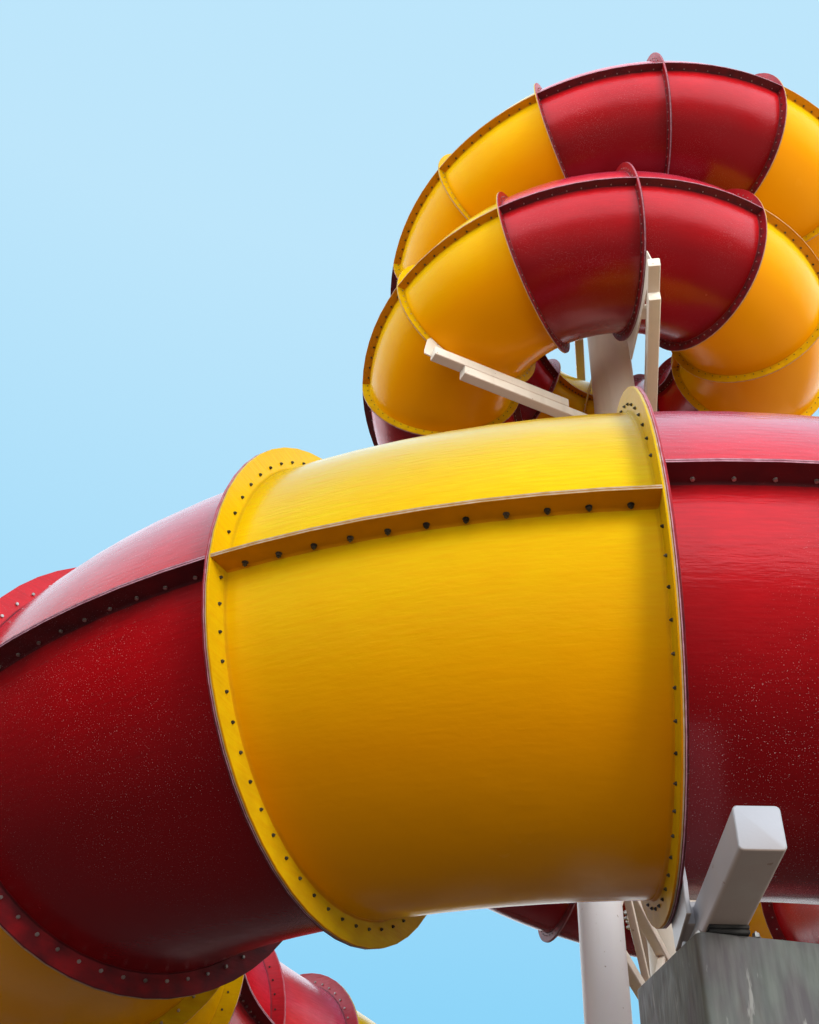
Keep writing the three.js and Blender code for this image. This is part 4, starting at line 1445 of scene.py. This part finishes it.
column = Steel()
splice_bolts = []
near_lines = {name: near_arm_line(joint) for name, joint in NEAR_ARMS.items()}
start = COLUMN_STUB + GAP
bolt_faces = (start + SPLICE + PROUD, 1), (COLUMN_STUB - SPLICE - PROUD, -1)
for name, (arm_frame, reach, _) in near_lines.items():
    steel = Steel()
    end = reach + NEAR_REACHES.get(name, NEAR_REACH)
    near_tube(steel, arm_frame, start, end, start)
    add_seat(steel, NEAR_ARMS[name], UNDER, NEAR_SEAT_REACH, NEAR_SEAT_ARC)
    add_web(steel, NEAR_ARMS[name], UNDER)
    steel.finish(f"arm_{name}_steel", ARM_WHITE_WITH_PAINTED_SHADE, "white_paint", "arm_" + name)

    plate_start = COLUMN_STUB - SPLICE
    near_tube(column, arm_frame, COLUMN_ROOT, COLUMN_STUB - 0.004, plate_start)
    for y in SPLICE_BOLT_PLACES:
        for z in SPLICE_BOLT_PLACES:
            for x, way in bolt_faces:
                place = (x, y, z - BEAM / 2)
                splice_bolts.append(bolt_on(arm_frame, place, (way, 0, 0)))

cap_low = COLUMN_TOP - 0.012
round_disc(column, COLUMN_PLACE, COLUMN_RADIUS, cap_low, COLUMN_TOP, COLUMN_SIDES)
add_foot(
    column, COLUMN_PLACE, COLUMN_RADIUS, COLUMN_BASE, COLUMN_PLATE, fins=4, height=0.170
)
column.block(
    truss_frame,
    (COLUMN_ROOT, -COLUMN_PAD_HALF, truss_low - PAD_MARGIN),
    (COLUMN_PAD_FACE, COLUMN_PAD_HALF, truss_high + PAD_MARGIN),
)
column.finish("near_column_fittings", COLUMN_PAINT, "white_paint", "near_column")

steel = Steel()
round_tube(steel, COLUMN_PLACE, COLUMN_RADIUS, COLUMN_WALL, COLUMN_SIDES, COLUMN_LEVELS)
steel.finish("near_column_tube", COLUMN_PAINT, "white_paint", "near_column", bevel=0)
set_bolts("splice_bolts", splice_bolts, 52, SPLICE_BOLT)
column_anchors = anchor_bolts(COLUMN_PLACE, COLUMN_BASE, COLUMN_PLATE, 2)
set_bolts("near_column_anchor_bolts", column_anchors, 53, COLUMN_ANCHOR)


# Tie truss: two square chords and their diagonals, welded between bolted end plates, that
# hold the near column to the mast.
TRUSS_HALF = 0.032
TRUSS_BAYS = 4
TRUSS_END = 0.040
TRUSS_PLATE = 0.012
TRUSS_PLATE_HALF = 0.060
CHORD_INSET = 0.002
DIAGONAL_HALF = (-0.020, 0.020)
TRUSS_BOLT = (0.019, 0.0075, 0.014, 0.0014, 0.003, 0.005)
TRUSS_BOLT_PLACES = (-0.044, 0.044)
TRUSS_BOLT_INSET = 0.025
truss_start = COLUMN_PAD_FACE + GAP
truss_end = truss_span - MAST_PAD_FACE - GAP
steel = Steel()
for level in (TRUSS_TOP, TRUSS_BOTTOM):
    chord_z = (level - TRUSS_HALF, level + TRUSS_HALF)
    ends = (truss_start + CHORD_INSET, truss_end - CHORD_INSET)
    steel.bar(truss_frame, *ends, (-TRUSS_HALF, TRUSS_HALF), chord_z)
for x in (truss_start, truss_end - TRUSS_PLATE):
    high = (x + TRUSS_PLATE, TRUSS_PLATE_HALF, truss_high)
    steel.block(truss_frame, (x, -TRUSS_PLATE_HALF, truss_low), high)
for i in range(TRUSS_BAYS):
    a, b = [
        mix(truss_start + TRUSS_END, truss_end - TRUSS_END, k / TRUSS_BAYS)
        for k in (i, i + 1)
    ]
    low_x, high_x = (a, b) if i % 2 == 0 else (b, a)
    start = truss_frame @ Vector((low_x, 0, TRUSS_BOTTOM))
    end = truss_frame @ Vector((high_x, 0, TRUSS_TOP))
    way = (end - start).normalized()
    across = UP.cross(truss_way)
    local = frame_of(start, way, across, way.cross(across))
    length = (end - start).length
    steel.bar(local, 0, length, DIAGONAL_HALF, DIAGONAL_HALF, corner=0.005)
steel.finish("tie_truss_steel", CREAM_PAINT, "cream_paint", "tie_truss")

truss_bolts = []
bolt_face = TRUSS_PLATE + PROUD
low, high = truss_low + TRUSS_BOLT_INSET, truss_high - TRUSS_BOLT_INSET
for x, way in ((truss_start + bolt_face, 1), (truss_end - bolt_face, -1)):
    for y in TRUSS_BOLT_PLACES:
        for z in (low, (low + high) / 2, high):
            truss_bolts.append((truss_frame @ Vector((x, y, z)), truss_way * way))
set_bolts("truss_bolts", truss_bolts, 54, TRUSS_BOLT)


# Grey post: a folded and welded steel box with a flat top, left in its dull mill finish,
# which shows upright rolling streaks. A rubber and steel bearing pad lies on its top.
POST_PLACE = Vector((-1.077, -4.864, 0))
POST_HALF = (-0.225, 0.225)
POST_WALL = 0.010
POST_CORNER = 0.022
POST_TURN = 8
PAD_THICKNESS = 0.020
PAD_REACH, PAD_HALF = 0.180, 0.047
PAD_SHIFT = 0.020
# Bottom and top of the pad's layers, and how far each stands out.
PAD_LAYERS = [(0, 0.0085, 0.0), (0.0085, 0.0115, -0.004), (0.0115, PAD_THICKNESS, 0.0)]
PAD_BOLT = (0.016, 0.009, 0.011, 0.0014, 0.003, 0.005)
PAD_BOLT_PLACES = [(x, y) for x in (-0.150, 0.150) for y in (-0.066, 0.066)]


def mill_steel():
    """Dull hot-rolled steel: upright streaks, pale scuffs and a little rust."""
    finish, nodes = new_finish("mill_steel")
    streaks = nodes.noise(55, 6, (1, 1, 0.16))
    fine = nodes.noise(150, 3, (1, 1, 0.12))
    cloud = nodes.between(nodes.noise(9, 6, (1, 1, 0.6)), 0.4, 0.6)
    streaky = nodes.between(streaks, 0.35, 0.68)
    base = nodes.blended(streaky, (0.085, 0.082, 0.085), (0.17, 0.175, 0.165))
    tint = nodes.blended(cloud, (0.095, 0.080, 0.085), (0.12, 0.14, 0.12))
    base = nodes.blended(0.55, base, tint)
    scuffs = nodes.between(nodes.noise(42, 4, (1, 1, 0.2)), 0.66, 0.72)
    rust = nodes.between(nodes.noise(7, 6, (1, 1, 0.3)), 0.62, 0.74)
    base = nodes.blended(nodes.times(scuffs, 0.5), base, (0.42, 0.42, 0.40))
    base = nodes.blended(nodes.times(rust, 0.35), base, (0.16, 0.09, 0.05))
    dullness = nodes.between(fine, 0.3, 0.7, 0.42, 0.62)
    nodes.surface(Base_Color=base, Roughness=dullness, Metallic=0.15)
    nodes.bump(nodes.plus(streaks, fine), 0.35, 0.0008)
    return finish


def rubber():
    """Black rubber with dust on it."""
    finish, nodes = new_finish("bearing_rubber")
    dust = nodes.between(nodes.noise(12, 4), 0.45, 0.75, 0.0, 0.5)
    base = nodes.blended(dust, (0.012, 0.012, 0.013), (0.09, 0.085, 0.08))
    nodes.surface(Base_Color=base, Roughness=0.82)
    nodes.bump(nodes.noise(180, 3), 0.5, 0.0006)
    return finish


front_frame, front_reach, front_level = near_lines["bend_front"]
post_top = front_level - BEAM - PAD_THICKNESS - 2 * GAP
post_turn = Matrix.Rotation(math.radians(POST_TURN), 3, "Z")
post_frame = frame_of(POST_PLACE, UP, post_turn.col[0], post_turn.col[1])
steel = Steel()
steel.tube(post_frame, 0, post_top, POST_HALF, POST_HALF, POST_CORNER, POST_WALL)
steel.finish("grey_post_steel", mill_steel(), "grey_steel", "grey_post", bevel=0)

pad_at = front_reach + PAD_SHIFT
pad_low = -BEAM - GAP - PAD_THICKNESS
steel = Steel()
for low, high, spread in PAD_LAYERS:
    reach, half = PAD_REACH + spread, PAD_HALF + spread
    corners = (pad_at - reach, -half, pad_low + low), (pad_at + reach, half, pad_low + high)
    steel.block(front_frame, *corners)
steel.finish("rubber_pad_layers", rubber(), "pad_rubber", "rubber_pad", bevel=0.0015)
bolt_face = pad_low - GAP + PROUD
pad_bolts = [
    (front_frame @ Vector((pad_at + x, y, bolt_face)), UP) for x, y in PAD_BOLT_PLACES
]
set_bolts("pad_bolts", pad_bolts, 56, PAD_BOLT)


# Run-out frames: a square cross beam on two square legs, with a seat plate like those of
# the arms, under each of the run-out's ring joints.
CROSS_REACH = 0.640
CROSS_SEAT_REACH = 0.420
LEG_REACH = 0.560
LEG_HALF = (-0.045, 0.045)
FOOT_HALF = 0.120
FOOT_THICKNESS = 0.016
FOOT_BOLTS = (-0.085, 0.085)
FOOT_BOLT = (0.024, 0.013, 0.018, 0.0014, 0.008, 0.018)
foot_bolts = []
for name, joint in RUNOUT_FRAMES.items():
    centre, along, out, up = station_at(joint)
    level = centre.z - SEAT_LEVEL * up.z
    back = SEAT_FACE + SEAT_PLATE - 0.002 + BEAM / 2
    seat = centre - up * SEAT_LEVEL + upstream_of(along) * back
    seat.z = 0
    foot_frame = frame_of(seat, out, UP.cross(out), UP)
    steel = Steel()
    steel.bar(foot_frame, -CROSS_REACH, CROSS_REACH, BEAM_HALF, (level - BEAM, level))
    add_seat(steel, joint, UNDER, CROSS_SEAT_REACH)
    for x in (-LEG_REACH, LEG_REACH):
        leg = frame_of(foot_frame @ Vector((x, 0, 0)), UP, out, UP.cross(out))
        steel.bar(leg, 0.008, level - BEAM + 0.002, LEG_HALF, LEG_HALF)
        corners = (x - FOOT_HALF, -FOOT_HALF, 0), (x + FOOT_HALF, FOOT_HALF, FOOT_THICKNESS)
        steel.block(foot_frame, *corners)
        for a in FOOT_BOLTS:
            for b in FOOT_BOLTS:
                spot = Vector((x + a, b, FOOT_THICKNESS + PROUD))
                foot_bolts.append((foot_frame @ spot, UP))
    steel.finish(name + "_steel", CREAM_PAINT, "cream_paint", name)
set_bolts("runout_anchor_bolts", foot_bolts, 55, FOOT_BOLT)


# The finished tower, with the flume line that laid it out taken away.
bpy.data.objects.remove(flume_line)
